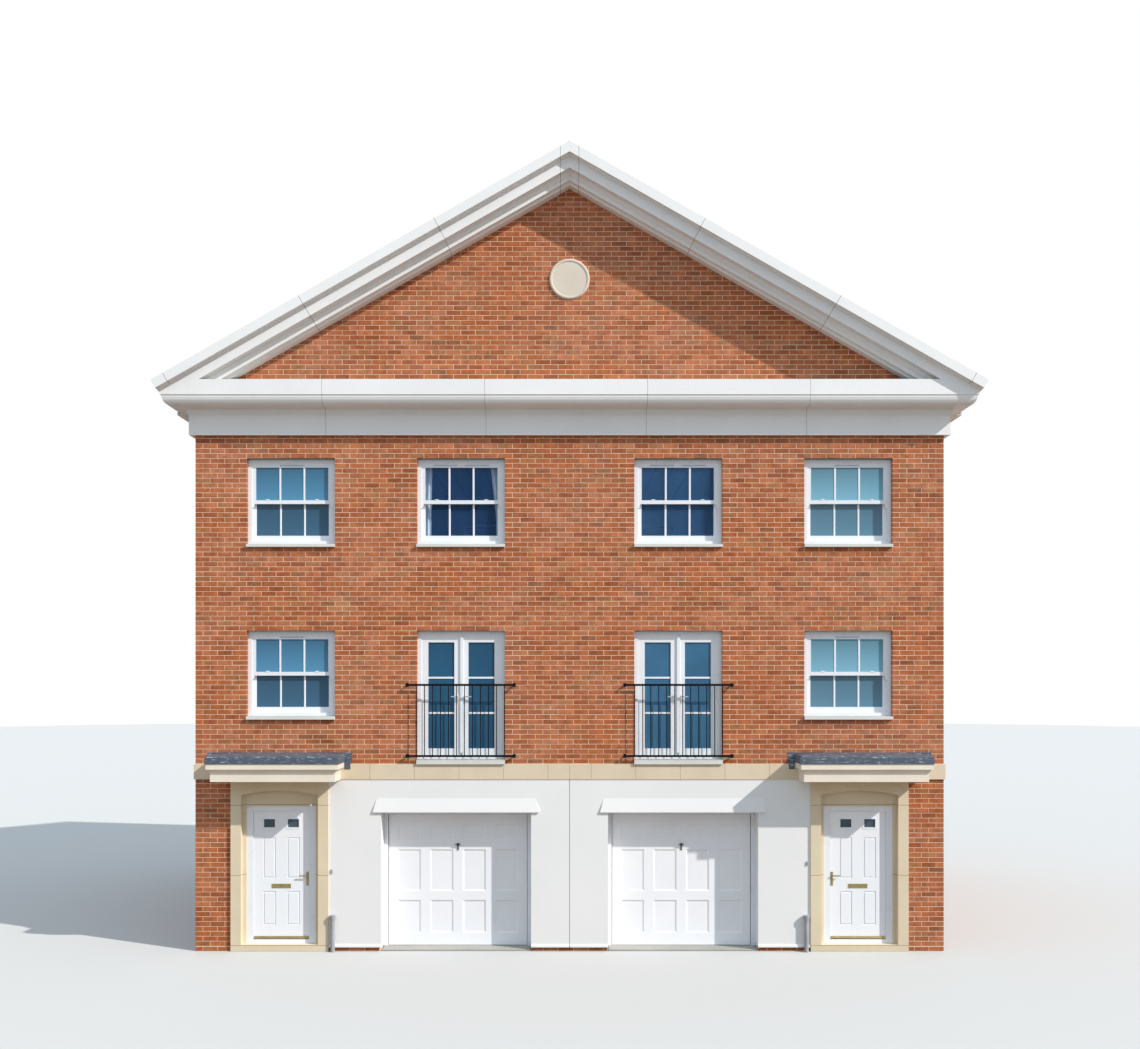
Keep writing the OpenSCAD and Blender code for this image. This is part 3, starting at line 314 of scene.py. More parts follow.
def measureAlong(f, axis):
    # "spread" runs from the centre to both sides, "rake" is square to the joints of the pediment's slopes
    if axis == "spread":
        return f.calc("ABSOLUTE", f.axes["X"])
    if axis == "rake":
        slope = math.radians(house.slope)
        outward = f.calc("MULTIPLY", f.calc("ABSOLUTE", f.axes["X"]), math.cos(slope))
        return f.calc("SUBTRACT", outward, f.calc("MULTIPLY", f.axes["Z"], math.sin(slope)))
    return f.axes[axis]


farApart = 40.0  # wider than the house, for a joint that stands alone


def jointedFinish(
        name, dark, light, roughness, cloud, grain, depth, joints=(), jointColour=None, paintedTopShade=None,
        reach=None):
    # A joint is the axis that it crosses, the place of one line, its width and the spacing
    f = Finish(name, roughness, specular=0.3)
    grains = f.noise(grain, 3.0, 0.6)
    colour = f.ramp(f.weigh(grains, 0.3, f.noise(cloud, 5.0, 0.6)), [(0.33, rgb(*dark)), (0.67, rgb(*light))])
    if paintedTopShade:
        # Painted shade: faces that look up are darkened, against the sun that falls on them
        colour = f.blend(f.skyward(), colour, f.times(colour, paintedTopShade))
    lines = []
    for axis, at, width, every in joints:
        along = measureAlong(f, axis)
        line = f.joints(along, every, at, width)
        if reach:
            line = f.calc("MULTIPLY", line, f.calc("LESS_THAN", f.calc("ABSOLUTE", along), reach))
        lines.append(line)
    if not lines:
        return f.done(colour, grains, depth, 0.5)
    groove = lines[0]
    for line in lines[1:]:
        groove = f.calc("MAXIMUM", groove, line)
    height = f.calc("SUBTRACT", f.calc("MULTIPLY", grains, 0.25), groove)
    return f.done(f.blend(groove, colour, rgb(*jointColour)), height, depth, 0.5)


slateLook = Sizes(
    dark=rgb(70, 76, 84), middle=rgb(86, 92, 100), light=rgb(104, 106, 112), hollow=(0.75, 0.75, 0.76, 1.0),
    ridge=(1.15, 1.15, 1.14, 1.0), moss=rgb(98, 100, 84), mossy=0.3)


def slateFinish():
    f = Finish("roofSlate", 0.62, specular=0.4)
    look = slateLook
    base = f.ramp(f.tone(), [(0.0, look.dark), (0.5, look.middle), (1.0, look.light)])
    riven = f.noise(26.0, 6.0, 0.65, f.stretched((1.0, 0.35, 1.0)))
    shade = f.ramp(riven, [(0.3, look.hollow), (0.7, look.ridge)])
    moss = f.ramp(f.noise(1.4, 5.0, 0.7), [(0.58, grey(0.0)), (0.75, grey(look.mossy))])
    return f.done(f.blend(moss, f.times(base, shade), look.moss), riven, 0.003, 0.7)


def boardFinish(name, dark, light, pitch, gapWidth=0.006):
    # Boards that run from front to back
    f = Finish(name, 0.55, specular=0.4)
    board = f.calc("FLOOR", f.calc("DIVIDE", f.axes["X"], pitch))
    tone = addNode(f.tree, "ShaderNodeTexWhiteNoise", {"W": board}, noise_dimensions="1D").outputs["Value"]
    grain = f.noise(18.0, 5.0, 0.6, f.stretched((6.0, 0.4, 6.0)))
    gap = f.joints(f.axes["X"], pitch, 0.0, gapWidth)
    wood = f.ramp(f.weigh(tone, 0.4, grain), [(0.3, rgb(*dark)), (0.7, rgb(*light))])
    return f.done(f.blend(gap, wood, rgb(60, 44, 30)), f.calc("SUBTRACT", grain, gap), 0.001, 0.5)


glassLook = Sizes(
    roughness=0.03, specular=0.2, wave=0.0004,
    window=Sizes(opacity=0.14, left=(0.042, 0.145, 0.385, 1.0), right=(0.092, 0.27, 0.60, 1.0)),
    door=Sizes(opacity=0.86, left=(0.016, 0.086, 0.170, 1.0), right=(0.047, 0.158, 0.285, 1.0)),
    light=Sizes(opacity=0.9, left=(0.065, 0.095, 0.125, 1.0), right=(0.065, 0.095, 0.125, 1.0)))
# Painted reflection and painted shade on the frosted panes: upper and lower sashes have their own tints, and
# footTone and headTone darken each sash towards its head
obscuredLook = Sizes(
    roughness=0.2, specular=0.25, wave=0.0004, opacity=0.94, ripple=0.06, fadeHigh=0.5, meeting=0.69,
    storeyHigh=2.61, storeyStart=3.506,
    upper=Sizes(foot=0.70, footTone=1.15, headTone=0.62,
                left=(0.079, 0.252, 0.420, 1.0), right=(0.188, 0.414, 0.547, 1.0)),
    lower=Sizes(foot=0.18, footTone=1.2, headTone=0.85,
                left=(0.038, 0.108, 0.183, 1.0), right=(0.099, 0.208, 0.291, 1.0)))


def homeTint(f, tint):
    # Each home has glass of its own
    return f.blend(f.calc("GREATER_THAN", f.axes["X"], 0.0), tint.left, tint.right)


def glassFinish(name, tint):
    f = Finish(name, glassLook.roughness, specular=glassLook.specular)
    f.give("Alpha", tint.opacity)
    ripple = f.noise(1.3, 2.0, 0.4)
    shade = f.ramp(ripple, [(0.3, grey(0.9)), (0.7, grey(1.25))])
    return f.done(f.times(homeTint(f, tint), shade), ripple, glassLook.wave, 0.5)


def obscuredFinish():
    # Frosted glass of the outer windows. Painted reflection makes the upper sash paler than the lower one,
    # and painted shade darkens each sash towards its head
    look = obscuredLook
    f = Finish("obscuredGlass", look.roughness, specular=look.specular)
    f.give("Alpha", look.opacity)
    storeys = f.calc("DIVIDE", f.calc("SUBTRACT", f.axes["Z"], look.storeyStart), look.storeyHigh)
    height = f.calc("MULTIPLY", f.calc("FRACT", storeys), look.storeyHigh)
    ripple = f.noise(60.0, 4.0, 0.6)
    panes = []
    for sash in (look.lower, look.upper):
        climb = f.calc("DIVIDE", f.calc("SUBTRACT", height, sash.foot), look.fadeHigh)
        fade = f.ramp(f.calc("MULTIPLY_ADD", ripple, look.ripple, climb),
                      [(0.0, grey(sash.footTone)), (1.0, grey(sash.headTone))])
        panes.append(f.times(homeTint(f, sash), fade))
    isUpper = f.calc("GREATER_THAN", height, look.meeting)
    return f.done(f.blend(isUpper, *panes), ripple, look.wave, 0.4)


leadLook = Sizes(
    dark=rgb(62, 70, 84), middle=rgb(84, 93, 108), light=rgb(112, 121, 136), speck=rgb(196, 204, 214),
    speckShare=0.9, dentDepth=0.012)


def leadFinish():
    f = Finish("sheetLead", 0.62, metallic=0.08, specular=0.4)
    look = leadLook
    dents = f.noise(7.0, 4.0, 0.6, f.stretched((1.0, 1.0, 2.0)))
    bloom = f.noise(24.0, 5.0, 0.7)
    colour = f.ramp(f.weigh(bloom, 0.5, dents), [(0.3, look.dark), (0.6, look.middle), (0.72, look.light)])
    pits = f.noise(20.0, 6.0, 0.75, f.stretched((0.5, 1.0, 2.2)))
    specks = f.ramp(pits, [(0.56, grey(0.0)), (0.66, grey(look.speckShare))])
    return f.done(f.blend(specks, colour, look.speck), dents, look.dentDepth, 0.7)


def clothFinish(name, dark, light, thread):
    # The weave follows the cloth's own map, in metres
    f = Finish(name, 0.9, specular=0.15)
    f.give("Sheen Weight", 0.25)
    uv = firstOut(f.tree, "ShaderNodeUVMap", uv_map="cloth")
    split = addNode(f.tree, "ShaderNodeSeparateXYZ", {0: uv}).outputs
    warp, weft = [f.calc("SINE", f.calc("MULTIPLY", split[i], 2 * math.pi / thread)) for i in (0, 1)]
    weave = f.calc("MULTIPLY", warp, weft)
    folds = f.noise(3.0, 4.0, 0.6, uv)
    colour = f.ramp(f.calc("MULTIPLY_ADD", weave, 0.06, folds), [(0.35, rgb(*dark)), (0.65, rgb(*light))])
    return f.done(colour, weave, 0.0002, 0.4)


handleLook = Sizes(
    barFoot=1.549, bar=(rgb(26, 27, 32), rgb(44, 45, 52)), plate=(rgb(104, 88, 86), rgb(128, 110, 106)))


def handleFinish():
    # A dark bar above a dull back plate
    f = Finish("garageHandle", 0.35, specular=0.4)
    grains = f.noise(150.0, 3.0)
    bar, plate = [
        f.ramp(grains, [(0.3, dark), (0.7, light)]) for dark, light in (handleLook.bar, handleLook.plate)]
    isBar = f.calc("GREATER_THAN", f.axes["Z"], handleLook.barFoot)
    return f.done(f.blend(isBar, plate, bar), grains, 0.0002, 0.4)


# Each row has two tones and the roughness. Then come the scales of the broad and the fine pattern, the depth
# of the fine one and the spread of the roughness, or for metal its share.
finishes = {
    "brick": brickFinish(),
    "wall": wallFinish(),
    "block": plainFinish("plasteredBlock", (196, 188, 174), (214, 207, 194), 0.9, 1.2, 60.0, 0.001),
    "concrete": plainFinish("floatedConcrete", (150, 148, 142), (178, 175, 168), 0.85, 1.1, 45.0, 0.0015),
    "floor": boardFinish("floorBoards", (150, 112, 70), (192, 152, 104), pitch=0.14),
    "ceiling": boardFinish("atticBoards", (178, 168, 148), (206, 196, 176), pitch=0.30),
    "render": jointedFinish("smoothRender", (225, 225, 226), (232, 232, 231), 0.8, 0.7, 70.0, 0.0008,
                            [("spread", 0.0, 0.008, farApart)], (206, 206, 202)),
    "stone": jointedFinish("castStone", (207, 191, 166), (221, 205, 180), 0.85, 1.8, 120.0, 0.001,
                           [("spread", 0.326, 0.007, 0.674), ("spread", 0.0, 0.007, farApart)],
                           (168, 150, 118)),
    "surround": jointedFinish("surroundStone", (211, 195, 167), (225, 210, 184), 0.85, 1.4, 120.0, 0.001,
                              [("Z", 1.15, 0.008, 1.06)], (156, 138, 108)),
    # The sill, moulding and rake rows darken their upward faces with painted shade
    "sill": jointedFinish("sillStone", (204, 204, 200), (217, 217, 214), 0.8, 2.0, 120.0, 0.001,
                          paintedTopShade=(0.72, 0.71, 0.68, 1.0)),
    "plaque": plainFinish("plaqueStone", (207, 195, 180), (218, 207, 193), 0.8, 2.5, 110.0, 0.001),
    "moulding": jointedFinish("mouldedCornice", (228, 228, 228), (236, 236, 236), 0.55, 1.0, 40.0, 0.0006,
                              [("X", 1.156, 0.007, 2.416)], (168, 163, 154),
                              paintedTopShade=(0.60, 0.59, 0.56, 1.0), reach=5.0),
    "rake": jointedFinish("rakingCornice", (228, 228, 228), (236, 236, 236), 0.55, 1.0, 40.0, 0.0006,
                          [("rake", -3.668, 0.008, 2.302), ("spread", 0.1365, 0.007, farApart)],
                          (150, 147, 140), paintedTopShade=(0.52, 0.51, 0.49, 1.0)),
    "board": plainFinish("paintedBoard", (203, 201, 194), (215, 213, 207), 0.45, 1.5, 30.0, 0.0004,
                         stretch=(1, 0.2, 1)),
    "canopy": plainFinish("canopyMoulding", (224, 213, 197), (236, 226, 211), 0.5, 1.6, 30.0, 0.0004),
    "roof": plainFinish("roofBoarding", (66, 60, 54), (92, 84, 74), 0.9, 2.0, 30.0, 0.001),
    "slate": slateFinish(),
    "ridge": jointedFinish("ridgeTile", (74, 79, 86), (96, 100, 107), 0.7, 3.0, 50.0, 0.003,
                           [("Y", 0.0, 0.012, 0.45)], (150, 148, 142)),
    "gutter": plainFinish("blackRainwaterPipe", (26, 28, 31), (40, 42, 46), 0.35, 4.0, 60.0, 0.0002),
    "frame": plainFinish("windowWhite", (223, 227, 233), (232, 235, 240), 0.28, 2.0, 40.0, 0.00015, 0.06),
    "glass": glassFinish("clearGlass", glassLook.window),
    "obscured": obscuredFinish(),
    "doorGlass": glassFinish("glazedDoorGlass", glassLook.door),
    "light": glassFinish("doorLightGlass", glassLook.light),
    "steel": plainFinish("blackPaintedSteel", (6, 8, 16), (12, 15, 26), 0.55, 6.0, 140.0, 0.0003,
                         specular=0.12),
    "lead": leadFinish(),
    "door": plainFinish("doorWhite", (230, 233, 238), (238, 240, 245), 0.35, 1.5, 90.0, 0.0003, 0.08,
                        stretch=(1, 1, 0.25)),
    "garage": plainFinish("garageWhite", (232, 233, 238), (240, 241, 244), 0.38, 1.2, 60.0, 0.0003, 0.08),
    "brass": metalFinish("agedBrass", (134, 120, 74), (170, 152, 98), 0.42, 0.6),
    "track": metalFinish("galvanisedSteel", (150, 155, 160), (186, 190, 194), 0.42, 0.85, grain=60.0),
    "roller": plainFinish("blackNylon", (24, 25, 27), (40, 41, 44), 0.5, 20.0, 120.0, 0.0002),
    "handle": handleFinish(),
    "grey": plainFinish("greyPipe", (140, 143, 150), (168, 171, 176), 0.5, 6.0, 70.0, 0.0003),
    "lacquer": metalFinish("whiteLacquer", (214, 217, 222), (236, 238, 242), 0.3, 0.1),
    "dome": plainFinish("opalDome", (196, 188, 172), (212, 205, 190), 0.35, 20.0, 90.0, 0.0001),
    "vent": plainFinish("ventHood", (176, 184, 198), (192, 199, 212), 0.4, 3.0, 60.0, 0.0002),
    "blind": clothFinish("blindCloth", (214, 220, 224), (232, 236, 238), thread=0.004),
    "curtain": clothFinish("curtainCloth", (208, 222, 230), (230, 240, 246), thread=0.003),
    "rod": metalFinish("paintedRod", (206, 206, 204), (230, 230, 228), 0.4, 0.2),
}
# Slots and nodes that aren't listed have the finish of the slot's own name
slotFinish = {
    "brick": "wall", "window_white": "frame", "black_steel": "steel", "door_white": "door",
    "garage_white": "garage", "dark_handle": "handle", "grey_pipe": "grey"}
nodeFinish = {
    "door_surrounds": "surround", "window_sills": "sill", "round_plaque": "plaque",
    "glazed_door_glass": "doorGlass", "raking_cornice": "rake", "eaves": "board", "rear_bargeboards": "board",
    "door_canopies": "canopy", "front_door_glass_left": "light", "front_door_glass_right": "light"}
betweenWindows = (house.outerWindow + house.innerWindow) / 2


def paintFaces(node, look, chosen):
    # A second finish on some of a node's faces
    mesh = nodes[node].data
    mesh.materials.append(finishes[look])
    for face in mesh.polygons:
        if chosen(face):
            face.material_index = 1


def isSlabEdge(face):
    # The slab's outer edge is the fascia behind the gutter
    return abs(face.normal.x) > 0.99 and abs(face.center.x) > betweenWindows


def isOuterStreetPane(face):
    return abs(face.center.x) > betweenWindows and face.center.y < 0.0


for part in frame["record"]["subparts"]:
    slot = part["material_slot"]
    mesh = nodes[part["node"]].data
    mesh.materials.clear()
    mesh.materials.append(finishes[nodeFinish.get(part["node"], slotFinish.get(slot, slot))])
paintFaces("roof_left", "board", isSlabEdge)
paintFaces("roof_right", "board", isSlabEdge)
paintFaces("window_glass", "obscured", isOuterStreetPane)
print("finishes made:", len(finishes))


# Making pieces

def keepPiece(name, mesh, look, smooth=False):
    piece = place(name, mesh)
    mesh.materials.clear()
    mesh.materials.append(finishes[look])
    if smooth:
        mesh.shade_smooth()
    else:
        mesh.shade_flat()
    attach(piece, "house")
    return piece


def finishShape(name, shape, look, smooth=False):
    bmesh.ops.recalc_face_normals(shape, faces=shape.faces)
    mesh = bpy.data.meshes.new(name)
    shape.to_mesh(mesh)
    shape.free()
    return keepPiece(name, mesh, look, smooth)


def plainCopy(holder):
    # The mesh that an object's modifiers give, kept without the object
    graph = bpy.context.evaluated_depsgraph_get()
    mesh = bpy.data.meshes.new_from_object(holder.evaluated_get(graph), depsgraph=graph)
    bpy.data.objects.remove(holder)
    return mesh


def pointsMesh(name, rows):
    # rows are (place, turn, size, tone)
    mesh = bpy.data.meshes.new(name)
    mesh.from_pydata([row[0] for row in rows], [], [])
    for column, label in ((1, "turn"), (2, "size")):
        data = mesh.attributes.new(label, "FLOAT_VECTOR", "POINT").data
        data.foreach_set("vector", [c for row in rows for c in row[column]])
    mesh.attributes.new("tone", "FLOAT", "POINT").data.foreach_set("value", [row[3] for row in rows])
    return mesh


def blocksTree():
    # A block with worn arrises on each point, at the point's own turn and size
    tree = bpy.data.node_groups.new("wornBlocks", "GeometryNodeTree")
    sockets = {"Points": "Geometry", "Arris Along": "Float", "Arris Up": "Float", "Arris Deep": "Float",
               "Finish": "Material", "Blocks": "Geometry"}
    for label, kind in sockets.items():
        way = "OUTPUT" if label == "Blocks" else "INPUT"
        tree.interface.new_socket(label, in_out=way, socket_type="NodeSocket" + kind)
    given = addNode(tree, "NodeGroupInput").outputs
    deep = given["Arris Deep"]

    def triple(x, y, z):
        return firstOut(tree, "ShaderNodeCombineXYZ", {0: x, 1: y, 2: z})

    # A cube without its front arris, whose front face is then drawn out and narrowed
    body = triple(1.0, calc(tree, "SUBTRACT", 1.0, deep), 1.0)
    cube = firstOut(tree, "GeometryNodeMeshCube", {"Size": body})
    back = triple(0.0, calc(tree, "MULTIPLY", deep, 0.5), 0.0)
    moved = firstOut(tree, "GeometryNodeTransform", {"Geometry": cube, "Translation": back})
    normal = addNode(tree, "ShaderNodeSeparateXYZ", {0: firstOut(tree, "GeometryNodeInputNormal")}).outputs
    isFront = calc(tree, "LESS_THAN", normal["Y"], -0.5)
    drawn = addNode(
        tree, "GeometryNodeExtrudeMesh", mode="FACES",
        inputs={"Mesh": moved, "Selection": isFront, "Offset Scale": deep}).outputs
    along, up = [calc(tree, "MULTIPLY_ADD", given[label], -2.0, 1.0) for label in ("Arris Along", "Arris Up")]
    narrowed = firstOut(
        tree, "ShaderNodeVectorMath", operation="MULTIPLY",
        inputs={0: firstOut(tree, "GeometryNodeInputPosition"), 1: triple(along, 1.0, up)})
    worn = firstOut(
        tree, "GeometryNodeSetPosition",
        {"Geometry": drawn["Mesh"], "Selection": drawn["Top"], "Position": narrowed})
    turn, size = [
        firstOut(tree, "GeometryNodeInputNamedAttribute", {"Name": label}, data_type="FLOAT_VECTOR")
        for label in ("turn", "size")]
    spin = firstOut(tree, "FunctionNodeEulerToRotation", {0: turn})
    copies = firstOut(
        tree, "GeometryNodeInstanceOnPoints",
        {"Points": given["Points"], "Instance": worn, "Rotation": spin, "Scale": size})
    real = firstOut(tree, "GeometryNodeRealizeInstances", {0: copies})
    painted = firstOut(tree, "GeometryNodeSetMaterial", {"Geometry": real, "Material": given["Finish"]})
    addNode(tree, "NodeGroupOutput", {0: painted})
    return tree


blockTree = blocksTree()
blockSockets = {
    item.name: item.identifier for item in blockTree.interface.items_tree if item.in_out == "INPUT"}


def layBlocks(name, rows, look, arris=(0.02, 0.045, 0.12)):
    # arris is the share of a block's length, height and depth that its worn front edge takes
    holder = place(name, pointsMesh(name + "Points", rows))
    copies = holder.modifiers.new("copies", "NODES")
    copies.node_group = blockTree
    for label, value in zip(("Arris Along", "Arris Up", "Arris Deep", "Finish"), (*arris, finishes[look])):
        copies[blockSockets[label]] = value
    mesh = plainCopy(holder)
    for label in ("turn", "size"):
        if label in mesh.attributes:
            mesh.attributes.remove(mesh.attributes[label])
    keepPiece(name, mesh, look)
    print(name, "made:", len(rows), "blocks")


wallSides = {
    "front": (0.0, 0.0, -house.halfDepth), "right": (math.pi / 2, house.halfWidth, 0.0),
    "rear": (math.pi, 0.0, house.halfDepth), "left": (-math.pi / 2, -house.halfWidth, 0.0)}


def about(middle, half):
    return (middle - half, middle + half)


def onWall(side, along, deep, up):
    # A point given along a wall, behind its face, and above the floor
    turn, x, y = wallSides[side]
    east, north = math.cos(turn), math.sin(turn)
    return (x + along * east - deep * north, y + along * north + deep * east, up)


def wallBlock(side, alongRange, deepRange, upRange, tone=0.5, flip=False):
    middle = [(low + high) / 2 for low, high in (alongRange, deepRange, upRange)]
    size = tuple(high - low for low, high in (alongRange, deepRange, upRange))
    turn = wallSides[side][0] + (math.pi if flip else 0.0)
    return (onWall(side, *middle), (0.0, 0.0, turn), size, tone)


def fitting(side, x, z, parts, sign=1):
    # Blocks given by their reach beside, behind and above one spot on a wall
    return [wallBlock(side, sorted((x + sign * along[0], x + sign * along[1])), deep, (z + up[0], z + up[1]))
            for along, deep, up in parts.values()]


# Brickwork

brickwork = Sizes(
    course=0.0746, lowest=-65, highest=96, half=0.1125, joint=0.010, proud=0.004, wobble=0.0012, deep=0.020,
    jambDeep=0.077, jambLap=0.003, jambReach=0.012, edgeLap=0.012, leastLong=0.025, leastHigh=0.03,
    leastReach=0.1, cornerPier=5.12, doorPier=(2.868, 3.646), middlePier=0.568, plinthTop=0.063,
    pierTop=2.602, friezeFoot=7.802, corniceTop=8.63, sideReach=4.484, sideTop=8.198, rakeFoot=8.53,
    rakeTip=6.17, rakeLap=0.03, underRake={"front": 0.518, "rear": 0.213})
cornerTones = {}


def wallOpenings(side):
    # (left, right, foot, head) of the openings that cut the brick
    if side in ("left", "right"):
        return []
    half, high = house.openingWidth / 2, house.openingHeight
    holes = []
    for x in (house.outerWindow, house.innerWindow):
        inner = x == house.innerWindow
        for sign in (-1, 1):
            across = about(sign * x, half)
            holes.append((*across, house.secondHead - high, house.secondHead))
            foot = house.stringTop if side == "front" and inner else house.firstHead - high
            holes.append((*across, foot, house.firstHead))
            if side == "rear":
                foot = house.rearDoorFoot if inner else house.rearSill
                holes.append((*across, foot, house.groundHead))
    return holes


def courseReach(side, low):
    # The stretches of wall that show brick in the course that starts at low, and where brick ends above
    brick = brickwork
    if side in ("left", "right"):
        return [(-brick.sideReach, brick.sideReach)], brick.sideTop
    edge = house.halfWidth + brick.proud
    if side == "front":
        corner, middle = brick.cornerPier, brick.middlePier
        near, far = brick.doorPier
        if low < brick.plinthTop:
            stretches = [(-edge, -corner), (-far, -near), (-middle, middle), (near, far), (corner, edge)]
            return stretches, brick.plinthTop
        if low < brick.pierTop:
            return [(-edge, -corner), (corner, edge)], brick.pierTop
        if house.stringTop <= low < brick.friezeFoot:
            return [(-edge, edge)], brick.friezeFoot
        if low < brick.corniceTop:
            return [], 0.0
    rise = low - brick.rakeFoot + brick.underRake[side]
    edge = min(edge, brick.rakeTip - rise / house.roofRise + brick.rakeLap)
    return ([(-edge, edge)] if edge > brick.leastReach else []), math.inf


def cutStretches(reach, holes, low, high):
    # The stretches that openings leave of one course, and the jambs that they end at
    brick = brickwork
    jambs = set()
    for left, right, foot, head in holes:
        if high <= foot + brick.edgeLap or low >= head - brick.edgeLap:
            continue
        before, after = left + brick.jambLap, right - brick.jambLap
        cut = []
        for start, end in reach:
            crossed = left > start and right < end
            cut += [(start, before), (after, end)] if crossed else [(start, end)]
        reach = cut
        jambs |= {before, after}
    return reach, jambs


def brickLines(side):
    # Upright lines about half a brick apart, from one edge of an opening or wall to the next
    if side in ("left", "right"):
        places = [house.halfDepth]
    else:
        half = house.openingWidth / 2
        places = [x + shift for x in (house.outerWindow, house.innerWindow) for shift in (-half, half)]
        places.append(house.halfWidth)
    edges = sorted(sign * place for place in places for sign in (-1, 1))
    lines = edges[:1]
    for start, end in zip(edges, edges[1:]):
        count = round((end - start) / brickwork.half)
        lines += [start + (end - start) * (i + 1) / count for i in range(count)]
    return lines


def brickRows(side, shift, corners, seed):
    brick = brickwork
    chance = random.Random(seed)
    lines = brickLines(side)
    holes = wallOpenings(side)
    last = len(lines) - 1
    rows = []
    for k in range(brick.lowest, brick.highest):
        low = house.firstHead + k * brick.course
        high = low + brick.course
        reach, ceiling = courseReach(side, low)
        if not reach or ceiling - low < brick.leastHigh:
            continue
        reach, jambs = cutStretches(reach, holes, low, high)
        marks = list(range(0, last + 1, 2)) if (k + shift) % 2 == 0 else [0] + list(range(1, last + 1, 2))
        if marks[-1] != last:
            marks.append(last)
        for first, second in zip(marks, marks[1:]):
            tone = chance.random()
            if first == 0:
                tone = cornerTones.setdefault((corners[0], k), tone)
            if second == last:
                tone = cornerTones.setdefault((corners[1], k), tone)
            wobble = chance.uniform(-brick.wobble, brick.wobble)
            for start, end in reach:
                begin = max(lines[first] + brick.joint / 2 if first else -math.inf, start)
                finish = min(lines[second] - brick.joint / 2 if second < last else math.inf, end)
                if start in jambs and begin - start < brick.jambReach:
                    begin = start
                if end in jambs and end - finish < brick.jambReach:
                    finish = end
                if finish - begin < brick.leastLong:
                    continue
                deep = brick.jambDeep if begin in jambs or finish in jambs else brick.deep
                deepRange = (-brick.proud + wobble, deep - brick.proud)
                upRange = (low + brick.joint / 2, min(high - brick.joint / 2, ceiling))
                rows.append(wallBlock(side, (begin, finish), deepRange, upRange, tone))
    return rows


for side, shift, corners, seed in (
        ("front", 0, ("fl", "fr"), 11), ("right", 0, ("fr", "rr"), 12), ("rear", 1, ("rr", "rl"), 13),
        ("left", 1, ("rl", "fl"), 14)):
    layBlocks(side + "Bricks", brickRows(side, shift, corners, seed), "brick")


# Roof slates

slating = Sizes(
    long=0.5, wide=0.25, gauge=0.2, thick=0.007, lift=0.014, gap=0.004, eave=7.03, top=0.05, front=0.005,
    back=9.17, ridgeHeight=12.049, bed=0.025, leastLong=0.15, leastWide=0.04, uneven=0.002, seed=21)


def slateRows():
    slate = slating
    slope = math.radians(house.slope)
    chance = random.Random(slate.seed)
    rows = []
    for sign in (-1, 1):
        up = Vector((-sign * math.cos(slope), 0.0, math.sin(slope)))
        normal = Vector((sign * math.sin(slope), 0.0, math.cos(slope)))
        ridge = Vector((0.0, -house.halfDepth, slate.ridgeHeight)) - normal * slate.bed
        row = 0
        while slate.eave - row * slate.gauge > slate.top + slate.leastLong:
            tail = slate.eave - row * slate.gauge
            head = max(tail - slate.long, slate.top)
            at = slate.front - (slate.wide / 2 if row % 2 else 0.0)
            while at < slate.back:
                start, end = max(at, slate.front), min(at + slate.wide, slate.back)
                at += slate.wide
                if end - start < slate.leastWide:
                    continue
                lift = slate.lift * (tail - head) / slate.long
                tilt = lift / (tail - head) + chance.uniform(-slate.uneven, slate.uneven)
                middle = ridge - up * ((tail + head) / 2) + normal * (slate.thick / 2 + lift / 2)
                middle.y += (start + end) / 2
                leanUp = (up - normal * tilt).normalized()
                inward = -(normal + up * tilt).normalized()
                along = inward.cross(leanUp)
                turn = tuple(Matrix((along, inward, leanUp)).transposed().to_euler())
                size = (end - start - slate.gap, slate.thick, tail - head)
                rows.append((tuple(middle), turn, size, chance.random()))
            row += 1
    return rows


layBlocks("roofSlates", slateRows(), "slate", arris=(0.004, 0.003, 0.3))


# Window bars, catches and lintels

windowSizes = Sizes(sillTop=0.055, cill=0.045, frame=0.06, topRail=0.068, bottomRail=0.085, meeting=0.055)


def sashPlaces():
    # (side, centre, sill top, head) of every sash window
    rise, high = windowSizes["sillTop"], house.openingHeight
    places = []
    for x in (-house.outerWindow, -house.innerWindow, house.innerWindow, house.outerWindow):
        outer = abs(x) == house.outerWindow
        for side in ("front", "rear"):
            places.append((side, x, house.secondHead - high + rise, house.secondHead))
            if outer or side == "rear":
                places.append((side, x, house.firstHead - high + rise, house.firstHead))
        if outer:
            places.append(("rear", x, house.rearSill + rise, house.groundHead))
    return places


def glazedDoorPlaces():
    return [(side, sign * house.innerWindow) for side in ("front", "rear") for sign in (-1, 1)]


# Each depth is given for the bar outside the glass and for the one inside it
bars = Sizes(
    wide=0.028, third=0.1832, upperDeep=((0.0915, 0.1), (0.122, 0.131)),
    lowerDeep=((0.1365, 0.145), (0.167, 0.176)), doorDeep=((0.098, 0.109), (0.131, 0.142)),
    doorReach=(0.107, 0.5035), doorHeights={"front": (3.600, 4.137), "rear": (0.883, 1.434)})


def barPair(side, across, depths, heights):
    outside, inside = depths
    return [wallBlock(side, across, outside, heights), wallBlock(side, across, inside, heights, flip=True)]


def barRows():
    sizes = windowSizes
    half = bars.wide / 2
    rows = []
    for side, centre, low, high in sashPlaces():
        foot, top = low + sizes.cill, high - sizes.frame
        meeting = (foot + top) / 2
        upper = (meeting + sizes.meeting / 2, top - sizes.topRail)
        lower = (foot + sizes.bottomRail, meeting - sizes.meeting / 2)
        for sign in (-1, 1):
            across = about(centre + sign * bars.third, half)
            rows += barPair(side, across, bars.upperDeep, upper)
            rows += barPair(side, across, bars.lowerDeep, lower)
    for side, centre in glazedDoorPlaces():
        for sign in (-1, 1):
            across = sorted(centre + sign * reach for reach in bars.doorReach)
            for z in bars.doorHeights[side]:
                rows += barPair(side, across, bars.doorDeep, about(z, half))
    return rows


lintel = Sizes(endGap=0.001, deep=(0.001, 0.076), high=0.004)


